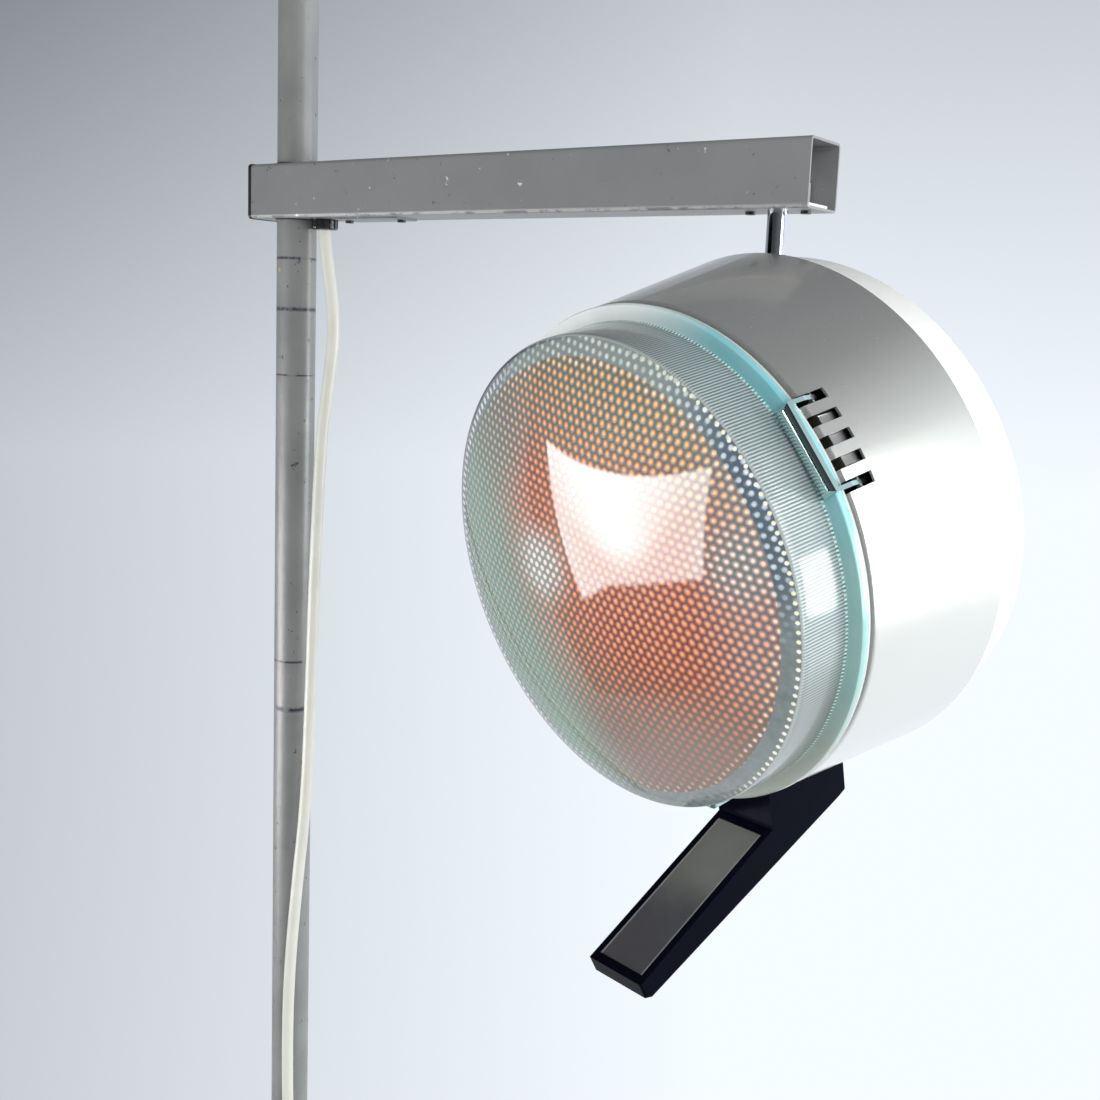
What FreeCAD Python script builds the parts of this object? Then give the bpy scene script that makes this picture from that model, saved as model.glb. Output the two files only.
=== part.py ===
import FreeCAD, Part
import Sketcher
import math
import os
import types

# A medical floor lamp: a heavy round foot, a tube pole, a square-tube arm that slides and swings on
# the pole, and a drum-shaped lamp head that hangs from the arm on a swivel pin and tilts on a knuckle.
# Frame: +Z up, origin on the floor at the pole's axis, +X along the arm towards the lamp head.
# Head pieces are drawn in the head's own frame: +X out of the glass, +Z up, origin at the glass rim.

# Driving dimensions, in millimetres and degrees.
SIZES = {
    # Fits and clearances
    "running_clearance": 0.05,
    "fit_clearance": 0.1,
    "seat_gap": 0.1,
    "slide_gap": 0.3,
    "cut_overrun": 2.0,
    # Cast foot
    "base_diameter": 420.0,
    "base_edge": 16.0,
    "base_edge_round": 7.0,
    "base_sole_round": 2.0,
    "base_crown": 32.0,
    "base_wall": 9.0,
    "base_rim": 30.0,
    "base_rib_thickness": 8.0,
    "base_rib_recess": 3.0,
    "base_rib_count": 6,
    "hub_diameter": 64.0,
    "hub_top": 84.0,
    "hub_draft": 5.0,
    "hub_root_round": 16.0,
    "hub_top_round": 4.0,
    "socket_floor": 15.0,
    "set_screw_height": 62.0,
    "set_screw_diameter": 8.0,
    "set_screw_recess": 1.5,
    "foot_height": 8.0,
    "foot_diameter": 28.0,
    "foot_taper": 2.0,
    "foot_count": 4,
    # Pole
    "pole_diameter": 30.0,
    "pole_wall": 2.0,
    "pole_top": 1700.0,
    "plug_cap": 4.0,
    "plug_cap_round": 2.5,
    "plug_spigot": 18.0,
    # Arm and the liner sleeve that carries it on the pole
    "arm_bottom": 1360.0,
    "arm_size": 40.0,
    "arm_wall": 1.5,
    "arm_corner": 3.0,
    "arm_back": 29.0,
    "arm_reach": 402.0,
    "arm_tail": 28.0,
    "liner_wall": 1.4,
    "liner_lip": 0.6,
    "liner_flange": 1.2,
    "liner_flange_thickness": 2.0,
    "end_cap_flange": 2.6,
    "end_cap_overhang": 0.4,
    "end_cap_spigot": 9.0,
    # Cord gland under the arm
    "gland_offset": 29.0,
    "gland_diameter": 20.6,
    "gland_drop": 7.8,
    "gland_round": 2.2,
    "gland_neck": 15.6,
    "gland_nut": 19.0,
    "gland_nut_height": 4.0,
    "gland_bore_depth": 5.0,
    "gland_flute": 1.8,
    "gland_flute_count": 14,
    # Wiring cover under the arm and what is behind it
    "plate_centre": 80.5,
    "plate_length": 62.0,
    "plate_width": 26.0,
    "plate_thickness": 1.2,
    "plate_corner": 4.0,
    "plate_screw_pitch": 51.0,
    "window_length": 40.0,
    "window_width": 18.0,
    "screw_head": 6.0,
    "screw_head_height": 1.8,
    "screw_shank": 3.0,
    "plate_screw_length": 6.0,
    "block_length": 34.0,
    "block_width": 14.0,
    "block_height": 16.0,
    "block_round": 2.0,
    "lead_diameter": 5.0,
    "lead_height": 7.0,
    "lead_bend": 8.0,
    "lead_entry": 4.0,
    # Swivel under the arm's open end
    "sleeve_block_length": 26.0,
    "sleeve_block_width": 33.6,
    "sleeve_block_corner": 2.0,
    "sleeve_height": 16.0,
    "sleeve_plate_length": 52.0,
    "sleeve_plate_width": 30.0,
    "sleeve_plate_thickness": 2.0,
    "sleeve_plate_corner": 4.0,
    "sleeve_screw_pitch": 36.0,
    "sleeve_screw_length": 4.5,
    "pin_diameter": 12.0,
    "pin_bore": 6.5,
    "pin_drop": 59.5,
    "washer_diameter": 24.0,
    "washer_thickness": 1.5,
    "pin_nut_across": 19.0,
    "pin_nut_height": 6.0,
    "pin_thread_show": 2.0,
    # Tilt knuckle
    "knuckle_diameter": 24.0,
    "knuckle_width": 16.0,
    "neck_diameter": 15.6,
    "neck_height": 21.0,
    "pin_socket_floor": 14.0,
    "bolt_diameter": 8.0,
    "bolt_head_across": 13.0,
    "bolt_head_height": 5.0,
    "friction_washer": 22.0,
    "friction_washer_thickness": 1.5,
    # Pose of the head and the place of its tilt axis
    "head_yaw_angle": -105.0,
    "head_tilt_angle": 13.0,
    "pivot_behind": 151.5,
    "pivot_inset": 37.5,
    # Pressed front glass
    "glass_draft": 1.5,
    "glass_thickness": 5.0,
    "glass_dome": 24.0,
    "glass_inner_set": 3.5,
    "glass_edge_round": 2.5,
    "glass_root_round": 1.5,
    "flange_front": 34.0,
    "flange_back": 40.0,
    "flange_width": 9.0,
    "flange_round": 2.0,
    "gasket_thickness": 1.5,
    "gasket_inset": 1.0,
    "gasket_width": 8.0,
    # Drum housing
    "drum_rear_radius": 157.5,
    "drum_taper": 10.0,
    "drum_rear": 142.0,
    "drum_wall": 1.5,
    "drum_lip": 13.5,
    "drum_shoulder": 4.0,
    # Catches that hold the glass, and the slots they work in
    "catch_angle": 32.5,
    "catch_count": 3,
    "slot_count": 5,
    "slot_pitch": 12.1,
    "slot_width": 5.9,
    "slot_end": 62.0,
    "slot_depth": 11.5,
    "catch_arm_width": 2.4,
    "catch_thickness": 3.0,
    "catch_hold_gap": 0.9,
    "catch_grip": 7.1,
    "catch_stand_off": 2.9,
    "catch_bar_bow": 8.0,
    "catch_corner": 4.0,
    "catch_arm_depth": 3.8,
    "catch_straight": 10.0,
    "catch_pivot_back": 56.0,
    "catch_pivot_inset": 6.0,
    "catch_eye_radius": 4.4,
    "catch_rod_diameter": 4.0,
    "catch_rod_overhang": 1.5,
    "catch_block_width": 31.0,
    "catch_block_length": 12.0,
    "catch_block_height": 10.0,
    "catch_block_round": 2.0,
    # Inside the head
    "reflector_inset": 5.5,
    "reflector_rim": 10.0,
    "reflector_apex_radius": 25.0,
    "reflector_back": 117.0,
    "reflector_bow_radius": 135.0,
    "reflector_wall": 1.8,
    "ring_front": 100.0,
    "ring_back": 103.0,
    "ring_inset": 65.5,
    "ring_skirt": 9.0,
    "ring_skirt_wall": 2.0,
    "bulb_radius": 9.0,
    "bulb_tip": 74.0,
    "bulb_seat": 124.0,
    "bulb_neck_radius": 6.0,
    "bulb_neck_length": 16.0,
    "bulb_shoulder_round": 5.0,
    "bulb_tip_round": 7.0,
    "lampholder_radius": 17.0,
    "lampholder_length": 27.0,
    "lampholder_nose": 6.0,
    "lampholder_nose_radius": 12.0,
    "bridge_width": 30.0,
    "bridge_sheet": 2.0,
    "bridge_inset": 4.0,
    "bridge_foot_length": 20.0,
    "bracket_sheet": 3.0,
    "bracket_width": 68.0,
    "bracket_below": 16.0,
    "bracket_above": 24.0,
    "bracket_corner": 5.0,
    "cheek_eye_radius": 15.0,
    "cheek_bow_radius": 15.6,
    # Rear cover
    "cover_seam": 0.5,
    "cover_step": 1.5,
    "cover_taper": 8.0,
    "cover_back": 183.0,
    "cover_wall": 2.5,
    "cover_corner": 14.0,
    "cover_spigot": 6.0,
    "pin_slot_width": 13.4,
    "pin_slot_front_angle": 11.0,
    "pin_slot_back_angle": 88.0,
    "pin_slot_reach": 60.0,
    "pin_slot_start": 23.0,
    "vent_count": 16,
    "vent_clear": 26.0,
    "vent_length": 32.0,
    "vent_width": 5.0,
    "post_inset": 33.5,
    "post_diameter": 9.0,
    "post_count": 3,
    "cover_screw_head": 7.5,
    "cover_screw_head_height": 2.2,
    "cover_screw_shank": 4.0,
    "cover_screw_length": 12.0,
    # Mains switch in the rear cover
    "switch_inset": 57.5,
    "switch_length": 28.0,
    "switch_width": 14.0,
    "switch_depth": 20.0,
    "switch_flange": 2.5,
    "switch_flange_thickness": 1.5,
    "rocker_length": 20.0,
    "rocker_width": 8.6,
    "rocker_depth": 5.0,
    "rocker_ends": 2.4,
    "rocker_dip": 1.2,
    "rocker_angle": 8.0,
    "rocker_gap": 0.9,
    "rocker_side_gap": 0.3,
    "rocker_pin_diameter": 3.0,
    "rocker_pin_length": 1.4,
    # Handle under the drum
    "handle_width": 46.0,
    "handle_front": 86.5,
    "handle_rear": 158.5,
    "elbow_drop": 35.5,
    "heel_drop": 42.0,
    "heel_bevel": 6.5,
    "heel_bevel_drop": 2.5,
    "grip_length": 131.0,
    "grip_angle": 20.4,
    "tip_thickness": 15.0,
    "tip_bevel": 3.2,
    "handle_round": 1.6,
    "panel_width": 37.0,
    "panel_margin": 6.0,
    "panel_recess": 2.4,
    "panel_thickness": 1.8,
    "panel_gap": 0.3,
    "handle_screw_front": 112.0,
    "handle_screw_rear": 130.0,
    "handle_screw_shank": 4.0,
    "handle_screw_head": 8.0,
    "handle_screw_head_height": 3.0,
    "handle_screw_length": 14.0,
    # Mains cord, its coil, tie and plug
    "cord_diameter": 9.4,
    "coil_turns": 4.5,
    "coil_pitch": 10.0,
    "coil_rise": 10.1,
    "coil_outer_radius": 61.5,
    "coil_centre_x": 312.0,
    "coil_centre_y": 65.0,
    "coil_lift": 1.8,
    "coil_tail": 34.0,
    "coil_lead_in": 22.0,
    "tie_wall": 1.2,
    "tie_width": 9.0,
    "tie_round": 5.0,
    "tie_clearance": 0.5,
    "plug_diameter": 26.0,
    "plug_length": 36.0,
    "plug_relief": 26.0,
    "plug_relief_radius": 6.6,
    "plug_round": 4.0,
    "plug_pin_diameter": 4.8,
    "plug_pin_length": 19.0,
    "plug_pin_pitch": 19.0,
}

doc = FreeCAD.newDocument("floor_lamp")
sheet = doc.addObject("Spreadsheet::Sheet", "Sizes")
for row, (alias, number) in enumerate(SIZES.items(), start=1):
    sheet.set("A%d" % row, alias)
    sheet.set("B%d" % row, str(number))
    sheet.setAlias("B%d" % row, alias)
doc.recompute()


class Size:
    """A dimension that carries its number and the sheet expression that drives it."""

    def __init__(self, number, text):
        self.number = float(number)
        self.text = text

    def __add__(self, other):
        other = as_size(other)
        return Size(self.number + other.number, "(%s + %s)" % (self.text, other.text))

    def __sub__(self, other):
        other = as_size(other)
        return Size(self.number - other.number, "(%s - %s)" % (self.text, other.text))

    def __mul__(self, other):
        other = as_size(other)
        return Size(self.number * other.number, "(%s * %s)" % (self.text, other.text))

    def __truediv__(self, other):
        other = as_size(other)
        return Size(self.number / other.number, "(%s / %s)" % (self.text, other.text))

    def __neg__(self):
        return Size(-self.number, "(0 - %s)" % self.text)


def as_size(item):
    return item if isinstance(item, Size) else Size(item, repr(item))


def sine(angle):
    return Size(math.sin(math.radians(angle.number)), "sin(%s * 1 deg)" % angle.text)


def cosine(angle):
    return Size(math.cos(math.radians(angle.number)), "cos(%s * 1 deg)" % angle.text)


def root(size):
    return Size(math.sqrt(size.number), "sqrt(%s)" % size.text)


def bow(half_chord, rise):
    """Radius of the arc that rises by rise over half a chord."""
    return (half_chord * half_chord + rise * rise) / (rise * 2)


s = types.SimpleNamespace(**{alias: Size(number, "Sizes." + alias) for alias, number in SIZES.items()})
nodes = {}


def bind(thing, prop, size):
    thing.setExpression(prop, as_size(size).text)


def keep(label, thing, place=None):
    """Name a finished sub-part and give it its place."""
    thing.Label = label
    if place is not None:
        thing.Placement = place
    nodes[label] = thing
    return thing


def vector(x, y, z):
    return FreeCAD.Vector(as_size(x).number, as_size(y).number, as_size(z).number)


def moved(x, y, z, turn=None):
    return FreeCAD.Placement(vector(x, y, z), turn or FreeCAD.Rotation())


def about(axis, angle):
    return FreeCAD.Rotation(axis, angle)


X_AXIS = FreeCAD.Vector(1, 0, 0)
Y_AXIS = FreeCAD.Vector(0, 1, 0)
Z_AXIS = FreeCAD.Vector(0, 0, 1)
QUARTER_TURN = 90
HALF_TURN = 180
FULL_TURN = 360


def new_body(name):
    return doc.addObject("PartDesign::Body", name)


def sketch_on(body, plane):
    """An empty sketch on one of the body's own origin planes: XY, XZ or YZ."""
    sketch = body.newObject("Sketcher::SketchObject", body.Name + "_sketch")
    support = [item for item in body.Origin.OriginFeatures if item.Role == plane + "_Plane"]
    sketch.AttachmentSupport = (support[0], [""])
    sketch.MapMode = "FlatFace"
    return sketch


def pin_down(sketch, geometry, position, x, y):
    """Hold a point of the sketch at a named place."""
    for kind, axis, size in (("DistanceX", -2, as_size(x)), ("DistanceY", -1, as_size(y))):
        if size.number == 0 and "Sizes" not in size.text:
            sketch.addConstraint(Sketcher.Constraint("PointOnObject", geometry, position, axis))
        else:
            rule = sketch.addConstraint(Sketcher.Constraint(kind, -1, 1, geometry, position, size.number))
            sketch.setExpression("Constraints[%d]" % rule, size.text)


def hold_radius(sketch, geometry, size):
    rule = sketch.addConstraint(Sketcher.Constraint("Radius", geometry, size.number))
    sketch.setExpression("Constraints[%d]" % rule, size.text)


def draw(sketch, corners, arcs=None):
    """Draw a closed outline: a corner's third entry rounds it, arcs maps a side to its radius and bow."""
    arcs = arcs or {}
    count = len(corners)
    points = [vector(corner[0], corner[1], 0) for corner in corners]
    ends = []
    for index, corner in enumerate(corners):
        point = points[index]
        if len(corner) == 2:
            ends.append((point, point, None, None))
            continue
        back = (points[index - 1] - point).normalize()
        ahead = (points[(index + 1) % count] - point).normalize()
        half = back.getAngle(ahead) / 2
        radius = corner[2].number
        inward = (back + ahead).normalize()
        centre = point + inward * (radius / math.sin(half))
        cut = radius / math.tan(half)
        ends.append((point + back * cut, point + ahead * cut, centre - inward * radius, point))
    sides = []
    for index in range(count):
        start = ends[index][1]
        stop = ends[(index + 1) % count][0]
        if index in arcs:
            radius, centre_side = arcs[index]
            chord = stop - start
            left = FreeCAD.Vector(-chord.y, chord.x, 0).normalize()
            sag = radius.number - math.sqrt(radius.number ** 2 - (chord.Length / 2) ** 2)
            middle = start + chord / 2 - left * (centre_side * sag)
            side = sketch.addGeometry(Part.Arc(start, middle, stop), False)
            hold_radius(sketch, side, radius)
        else:
            side = sketch.addGeometry(Part.LineSegment(start, stop), False)
        forward = (sketch.getPoint(side, 1) - start).Length < (sketch.getPoint(side, 2) - start).Length
        sides.append((side, 1 if forward else 2, 2 if forward else 1))
    for index, corner in enumerate(corners):
        before, _, before_end = sides[index - 1]
        after, after_start, _ = sides[index]
        if len(corner) == 2:
            sketch.addConstraint(Sketcher.Constraint("Coincident", before, before_end, after, after_start))
            pin_down(sketch, after, after_start, corner[0], corner[1])
            continue
        start, stop, middle, point = ends[index]
        arc = sketch.addGeometry(Part.Arc(start, middle, stop), False)
        forward = (sketch.getPoint(arc, 1) - start).Length < (sketch.getPoint(arc, 2) - start).Length
        arc_start = 1 if forward else 2
        sketch.addConstraint(Sketcher.Constraint("Tangent", before, before_end, arc, arc_start))
        sketch.addConstraint(Sketcher.Constraint("Tangent", arc, 3 - arc_start, after, after_start))
        hold_radius(sketch, arc, corner[2])
        mark = sketch.addGeometry(Part.Point(point), True)
        sketch.addConstraint(Sketcher.Constraint("PointOnObject", mark, 1, before))
        sketch.addConstraint(Sketcher.Constraint("PointOnObject", mark, 1, after))
        pin_down(sketch, mark, 1, corner[0], corner[1])
    return sketch


def draw_circle(sketch, x, y, diameter):
    circle = sketch.addGeometry(Part.Circle(vector(x, y, 0), Z_AXIS, diameter.number / 2), False)
    pin_down(sketch, circle, 3, x, y)
    hold_radius(sketch, circle, diameter / 2)
    return sketch


def rectangle(x_low, x_high, y_low, y_high, radius=None):
    corners = [(x_low, y_low), (x_high, y_low), (x_high, y_high), (x_low, y_high)]
    return [corner + (radius,) for corner in corners] if radius else corners


def revolve(body, sketch, axis):
    feature = body.newObject("PartDesign::Revolution", body.Name + "_turned")
    feature.Profile = sketch
    feature.ReferenceAxis = (sketch, [axis])
    feature.Angle = FULL_TURN
    return feature


def pad(body, sketch, length, symmetric=False, back=False):
    feature = body.newObject("PartDesign::Pad", body.Name + "_pad")
    feature.Profile = sketch
    feature.SideType = "Symmetric" if symmetric else "One side"
    feature.Reversed = back
    bind(feature, "Length", length)
    return feature


def pocket(body, sketch, length, symmetric=False, back=False):
    """Cut a sketch out of the body and make sure that something was cut."""
    doc.recompute()
    before = body.Shape.Volume
    feature = body.newObject("PartDesign::Pocket", body.Name + "_pocket")
    feature.Profile = sketch
    feature.SideType = "Symmetric" if symmetric else "One side"
    feature.Reversed = back
    bind(feature, "Length", length)
    doc.recompute()
    if body.Shape.Volume >= before:
        raise ValueError("a cut of %s removes nothing" % body.Name)
    return feature


def polar(body, feature, sketch, axis, count):
    pattern = body.newObject("PartDesign::PolarPattern", body.Name + "_pattern")
    pattern.Originals = [feature]
    pattern.Axis = (sketch, [axis])
    pattern.Angle = FULL_TURN
    bind(pattern, "Occurrences", count)
    body.Tip = pattern
    return pattern


def turned_body(label, corners, arcs=None, axis="V_Axis", place=None):
    body = new_body(label)
    revolve(body, draw(sketch_on(body, "XZ"), corners, arcs), axis)
    return keep(label, body, place)


def cylinder(name, diameter, length, place=None):
    thing = doc.addObject("Part::Cylinder", name)
    bind(thing, "Radius", diameter / 2)
    bind(thing, "Height", length)
    if place is not None:
        thing.Placement = place
    return thing


def box(name, length, width, height, place=None):
    thing = doc.addObject("Part::Box", name)
    bind(thing, "Length", length)
    bind(thing, "Width", width)
    bind(thing, "Height", height)
    if place is not None:
        thing.Placement = place
    return thing


def hexagon(name, across, height, place=None):
    thing = doc.addObject("Part::Prism", name)
    thing.Polygon = 6
    thing.setExpression("Circumradius", "(%s) / 2 / cos(30 deg)" % across.text)
    bind(thing, "Height", height)
    if place is not None:
        thing.Placement = place
    return thing


def fuse(name, *things):
    joined = doc.addObject("Part::MultiFuse", name)
    joined.Shapes = list(things)
    return joined


def cut(name, base, tool):
    result = doc.addObject("Part::Cut", name)
    result.Base = base
    result.Tool = tool
    return result


def group(name, things):
    bundle = doc.addObject("Part::Compound", name)
    bundle.Links = list(things)
    return bundle


def screw(name, head, head_height, shank, length, place):
    """A round-headed screw: its seat at the origin, its head below it and its shank above."""
    body = cylinder(name + "_shank", shank, length)
    cap = cylinder(name + "_head", head, head_height, moved(0, 0, -head_height))
    joined = fuse(name, body, cap)
    joined.Placement = place
    return joined


# Places that several pieces share.
pole_radius = s.pole_diameter / 2
pole_bore = pole_radius - s.pole_wall
arm_top = s.arm_bottom + s.arm_size
arm_length = s.arm_back + s.arm_reach + s.arm_tail
arm_floor = s.arm_bottom + s.arm_wall
pivot_height = s.arm_bottom - s.pin_drop
turn_head = FreeCAD.Rotation(s.head_yaw_angle.number, 0, 0)
tilt_head = FreeCAD.Rotation(s.head_yaw_angle.number, s.head_tilt_angle.number, 0)
pivot_place = moved(s.arm_reach, 0, pivot_height, turn_head)
pivot_above = s.drum_rear_radius - s.pivot_inset
head_place = moved(s.arm_reach, 0, pivot_height, tilt_head) * moved(s.pivot_behind, 0, -pivot_above)
drum_front = s.flange_back + s.gasket_thickness
drum_front_radius = s.drum_rear_radius - s.drum_taper
drum_slope = s.drum_taper / (s.drum_rear - drum_front)
lip_radius = drum_front_radius - s.drum_lip
slot_floor = drum_front_radius - s.slot_depth
flange_radius = drum_front_radius
glass_wall_radius = flange_radius - s.flange_width
glass_rim_radius = glass_wall_radius - s.glass_draft
ring_inner_radius = s.drum_rear_radius - s.ring_inset
post_circle_radius = s.drum_rear_radius - s.post_inset
switch_height = s.drum_rear_radius - s.switch_inset


def drum_inside(depth):
    """Inner radius of the drum's wall at a depth behind the glass rim."""
    return drum_front_radius + drum_slope * (depth - drum_front) - s.drum_wall


# Foot: a round iron casting with a hollow, ribbed underside and a hub that holds the pole.
base_radius = s.base_diameter / 2
hub_radius = s.hub_diameter / 2
edge_top = s.foot_height + s.base_edge
crown_top = s.foot_height + s.base_crown
rim_inside = base_radius - s.base_rim
hollow_outer = edge_top - s.base_wall
hollow_inner = crown_top - s.base_wall
socket_radius = pole_radius + s.fit_clearance
base = new_body("base_casting")
revolve(base, draw(sketch_on(base, "XZ"), [
    (0, s.foot_height),
    (hub_radius, s.foot_height),
    (hub_radius, hollow_inner),
    (rim_inside, hollow_outer),
    (rim_inside, s.foot_height),
    (base_radius, s.foot_height, s.base_sole_round),
    (base_radius, edge_top, s.base_edge_round),
    (hub_radius, crown_top, s.hub_root_round),
    (hub_radius - s.hub_draft, s.hub_top, s.hub_top_round),
    (socket_radius, s.hub_top),
    (socket_radius, s.socket_floor),
    (0, s.socket_floor),
]), "V_Axis")
rib_sketch = draw(sketch_on(base, "XZ"), [
    (hub_radius - s.base_wall / 2, s.foot_height + s.base_rib_recess),
    (rim_inside + s.base_wall / 2, s.foot_height + s.base_rib_recess),
    (rim_inside + s.base_wall / 2, hollow_outer + s.base_wall / 2),
    (hub_radius - s.base_wall / 2, hollow_inner + s.base_wall / 2),
])
base_rib = pad(base, rib_sketch, s.base_rib_thickness, symmetric=True)
polar(base, base_rib, rib_sketch, "V_Axis", s.base_rib_count)
set_screw_sketch = sketch_on(base, "XZ")
draw_circle(set_screw_sketch, 0, s.set_screw_height, s.set_screw_diameter + s.fit_clearance * 2)
pocket(base, set_screw_sketch, s.hub_diameter + s.cut_overrun * 2, symmetric=True)
keep("base_casting", base)

# Rubber feet under the casting's rim.
feet = []
foot_circle = base_radius - s.base_rim / 2
for index in range(SIZES["foot_count"]):
    foot = doc.addObject("Part::Cone", "foot_%d" % index)
    bind(foot, "Radius1", s.foot_diameter / 2 - s.foot_taper)
    bind(foot, "Radius2", s.foot_diameter / 2)
    bind(foot, "Height", s.foot_height)
    turn = about(Z_AXIS, (index + 0.5) * FULL_TURN / SIZES["foot_count"])
    foot.Placement = FreeCAD.Placement(turn.multVec(vector(foot_circle, 0, 0)), turn)
    feet.append(foot)
keep("base_feet", group("base_feet", feet))

# Pole: a steel tube standing in the hub, with a plastic plug in its top and two set screws at its foot.
turned_body("pole", rectangle(pole_bore, pole_radius, s.socket_floor, s.pole_top))
turned_body("pole_plug", [
    (0, s.pole_top - s.plug_spigot),
    (pole_bore - s.fit_clearance, s.pole_top - s.plug_spigot),
    (pole_bore - s.fit_clearance, s.pole_top),
    (pole_radius, s.pole_top),
    (pole_radius, s.pole_top + s.plug_cap, s.plug_cap_round),
    (0, s.pole_top + s.plug_cap),
])
set_screws = []
set_screw_length = hub_radius - s.hub_draft - s.set_screw_recess - pole_radius
for sign in (1, -1):
    inward = about(X_AXIS, -QUARTER_TURN * sign)
    start = moved(0, (pole_radius + s.seat_gap) * sign, s.set_screw_height, inward)
    set_screws.append(cylinder("set_screw", s.set_screw_diameter, set_screw_length, start))
keep("pole_set_screws", group("pole_set_screws", set_screws))

# Liner sleeve: slides on the pole and is caught between the arm's two walls, which turn about it.
liner_bore = pole_radius + s.running_clearance
liner_radius = liner_bore + s.liner_wall
liner_flange_radius = liner_radius + s.liner_flange
low_seat = arm_floor + s.slide_gap
high_seat = arm_top - s.arm_wall - s.slide_gap
turned_body("guide_sleeve", [
    (liner_bore, s.arm_bottom - s.liner_lip),
    (liner_radius, s.arm_bottom - s.liner_lip),
    (liner_radius, low_seat),
    (liner_flange_radius, low_seat),
    (liner_flange_radius, low_seat + s.liner_flange_thickness),
    (liner_radius, low_seat + s.liner_flange_thickness),
    (liner_radius, high_seat - s.liner_flange_thickness),
    (liner_flange_radius, high_seat - s.liner_flange_thickness),
    (liner_flange_radius, high_seat),
    (liner_radius, high_seat),
    (liner_radius, arm_top + s.liner_lip),
    (liner_bore, arm_top + s.liner_lip),
])

# Arm: a square steel tube with a pole hole through both walls and the rest of its holes in the floor.
half_arm = s.arm_size / 2
inner_half = half_arm - s.arm_wall
arm = new_body("arm_tube")
tube_sketch = sketch_on(arm, "YZ")
draw(tube_sketch, rectangle(-half_arm, half_arm, 0, s.arm_size, s.arm_corner))
inner_corner = s.arm_corner - s.arm_wall
draw(tube_sketch, rectangle(-inner_half, inner_half, s.arm_wall, s.arm_size - s.arm_wall, inner_corner))
pad(arm, tube_sketch, arm_length)
pole_hole = sketch_on(arm, "XY")
draw_circle(pole_hole, s.arm_back, 0, (liner_radius + s.running_clearance) * 2)
pocket(arm, pole_hole, s.arm_size + s.cut_overrun, back=True)
floor_holes = sketch_on(arm, "XY")
pin_x = s.arm_back + s.arm_reach
draw_circle(floor_holes, s.arm_back + s.gland_offset, 0, s.gland_neck + s.fit_clearance * 2)
draw_circle(floor_holes, pin_x, 0, s.pin_diameter + s.slide_gap * 2)
plate_x = s.arm_back + s.plate_centre
half_window = s.window_length / 2
window_side = s.window_width / 2
screw_hole = s.screw_shank + s.fit_clearance * 2
draw(floor_holes, rectangle(plate_x - half_window, plate_x + half_window, -window_side, window_side))
for sign in (1, -1):
    draw_circle(floor_holes, pin_x + s.sleeve_screw_pitch * (sign / 2), 0, screw_hole)
    draw_circle(floor_holes, plate_x + s.plate_screw_pitch * (sign / 2), 0, screw_hole)
pocket(arm, floor_holes, s.arm_wall + s.cut_overrun, back=True)
arm_place = moved(-s.arm_back, 0, s.arm_bottom)
keep("arm_tube", arm, arm_place)

# End cap: a black plastic plug in the arm's end behind the pole.
cap = new_body("arm_end_cap")
cap_half = half_arm + s.end_cap_overhang
cap_top = s.arm_size + s.end_cap_overhang
cap_sketch = sketch_on(cap, "YZ")
draw(cap_sketch, rectangle(-cap_half, cap_half, -s.end_cap_overhang, cap_top, s.arm_corner))
pad(cap, cap_sketch, s.end_cap_flange, back=True)
spigot_half = inner_half - s.fit_clearance
spigot_low = s.arm_wall + s.fit_clearance
spigot_sketch = sketch_on(cap, "YZ")
draw(spigot_sketch, rectangle(-spigot_half, spigot_half, spigot_low, s.arm_size - spigot_low, inner_corner))
pad(cap, spigot_sketch, s.end_cap_spigot)
keep("arm_end_cap", cap, arm_place)

# Cord gland: a fluted black nut under the arm, its neck through the floor and a lock nut inside.
gland = new_body("cord_gland")
gland_radius = s.gland_diameter / 2
gland_bore = s.cord_diameter / 2 + s.fit_clearance
revolve(gland, draw(sketch_on(gland, "XZ"), [
    (gland_bore, -s.gland_drop),
    (gland_radius, -s.gland_drop, s.gland_round),
    (gland_radius, 0),
    (s.gland_neck / 2, 0),
    (s.gland_neck / 2, s.arm_wall),
    (s.gland_nut / 2, s.arm_wall),
    (s.gland_nut / 2, s.arm_wall + s.gland_nut_height),
    (0, s.arm_wall + s.gland_nut_height),
    (0, -s.gland_drop + s.gland_bore_depth),
    (gland_bore, -s.gland_drop + s.gland_bore_depth),
]), "V_Axis")
flute_sketch = sketch_on(gland, "XY")
draw_circle(flute_sketch, gland_radius, 0, s.gland_flute)
flute = pocket(gland, flute_sketch, s.gland_drop + s.cut_overrun)
polar(gland, flute, flute_sketch, "N_Axis", s.gland_flute_count)
keep("cord_gland", gland, moved(s.gland_offset, 0, s.arm_bottom))

# Wiring cover under the arm, its two screws, and the terminal block that stands on it.
plate = new_body("underside_plate")
plate_sketch = sketch_on(plate, "XY")
half_plate = s.plate_length / 2
plate_side = s.plate_width / 2
draw(plate_sketch, rectangle(-half_plate, half_plate, -plate_side, plate_side, s.plate_corner))
for sign in (1, -1):
    draw_circle(plate_sketch, s.plate_screw_pitch * (sign / 2), 0, screw_hole)
pad(plate, plate_sketch, s.plate_thickness, back=True)
keep("underside_plate", plate, moved(s.plate_centre, 0, s.arm_bottom))
plate_screws = []
for sign in (1, -1):
    place = moved(s.plate_centre + s.plate_screw_pitch * (sign / 2), 0, s.arm_bottom - s.plate_thickness)
    plate_screws.append(screw("plate_screw", s.screw_head, s.screw_head_height, s.screw_shank,
                              s.plate_screw_length, place))
keep("plate_screws", group("plate_screws", plate_screws))
block = new_body("terminal_block")
half_block = s.block_length / 2
pad(block, draw(sketch_on(block, "XY"), rectangle(-half_block, half_block, -s.block_width / 2,
                                                  s.block_width / 2, s.block_round)), s.block_height)
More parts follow.
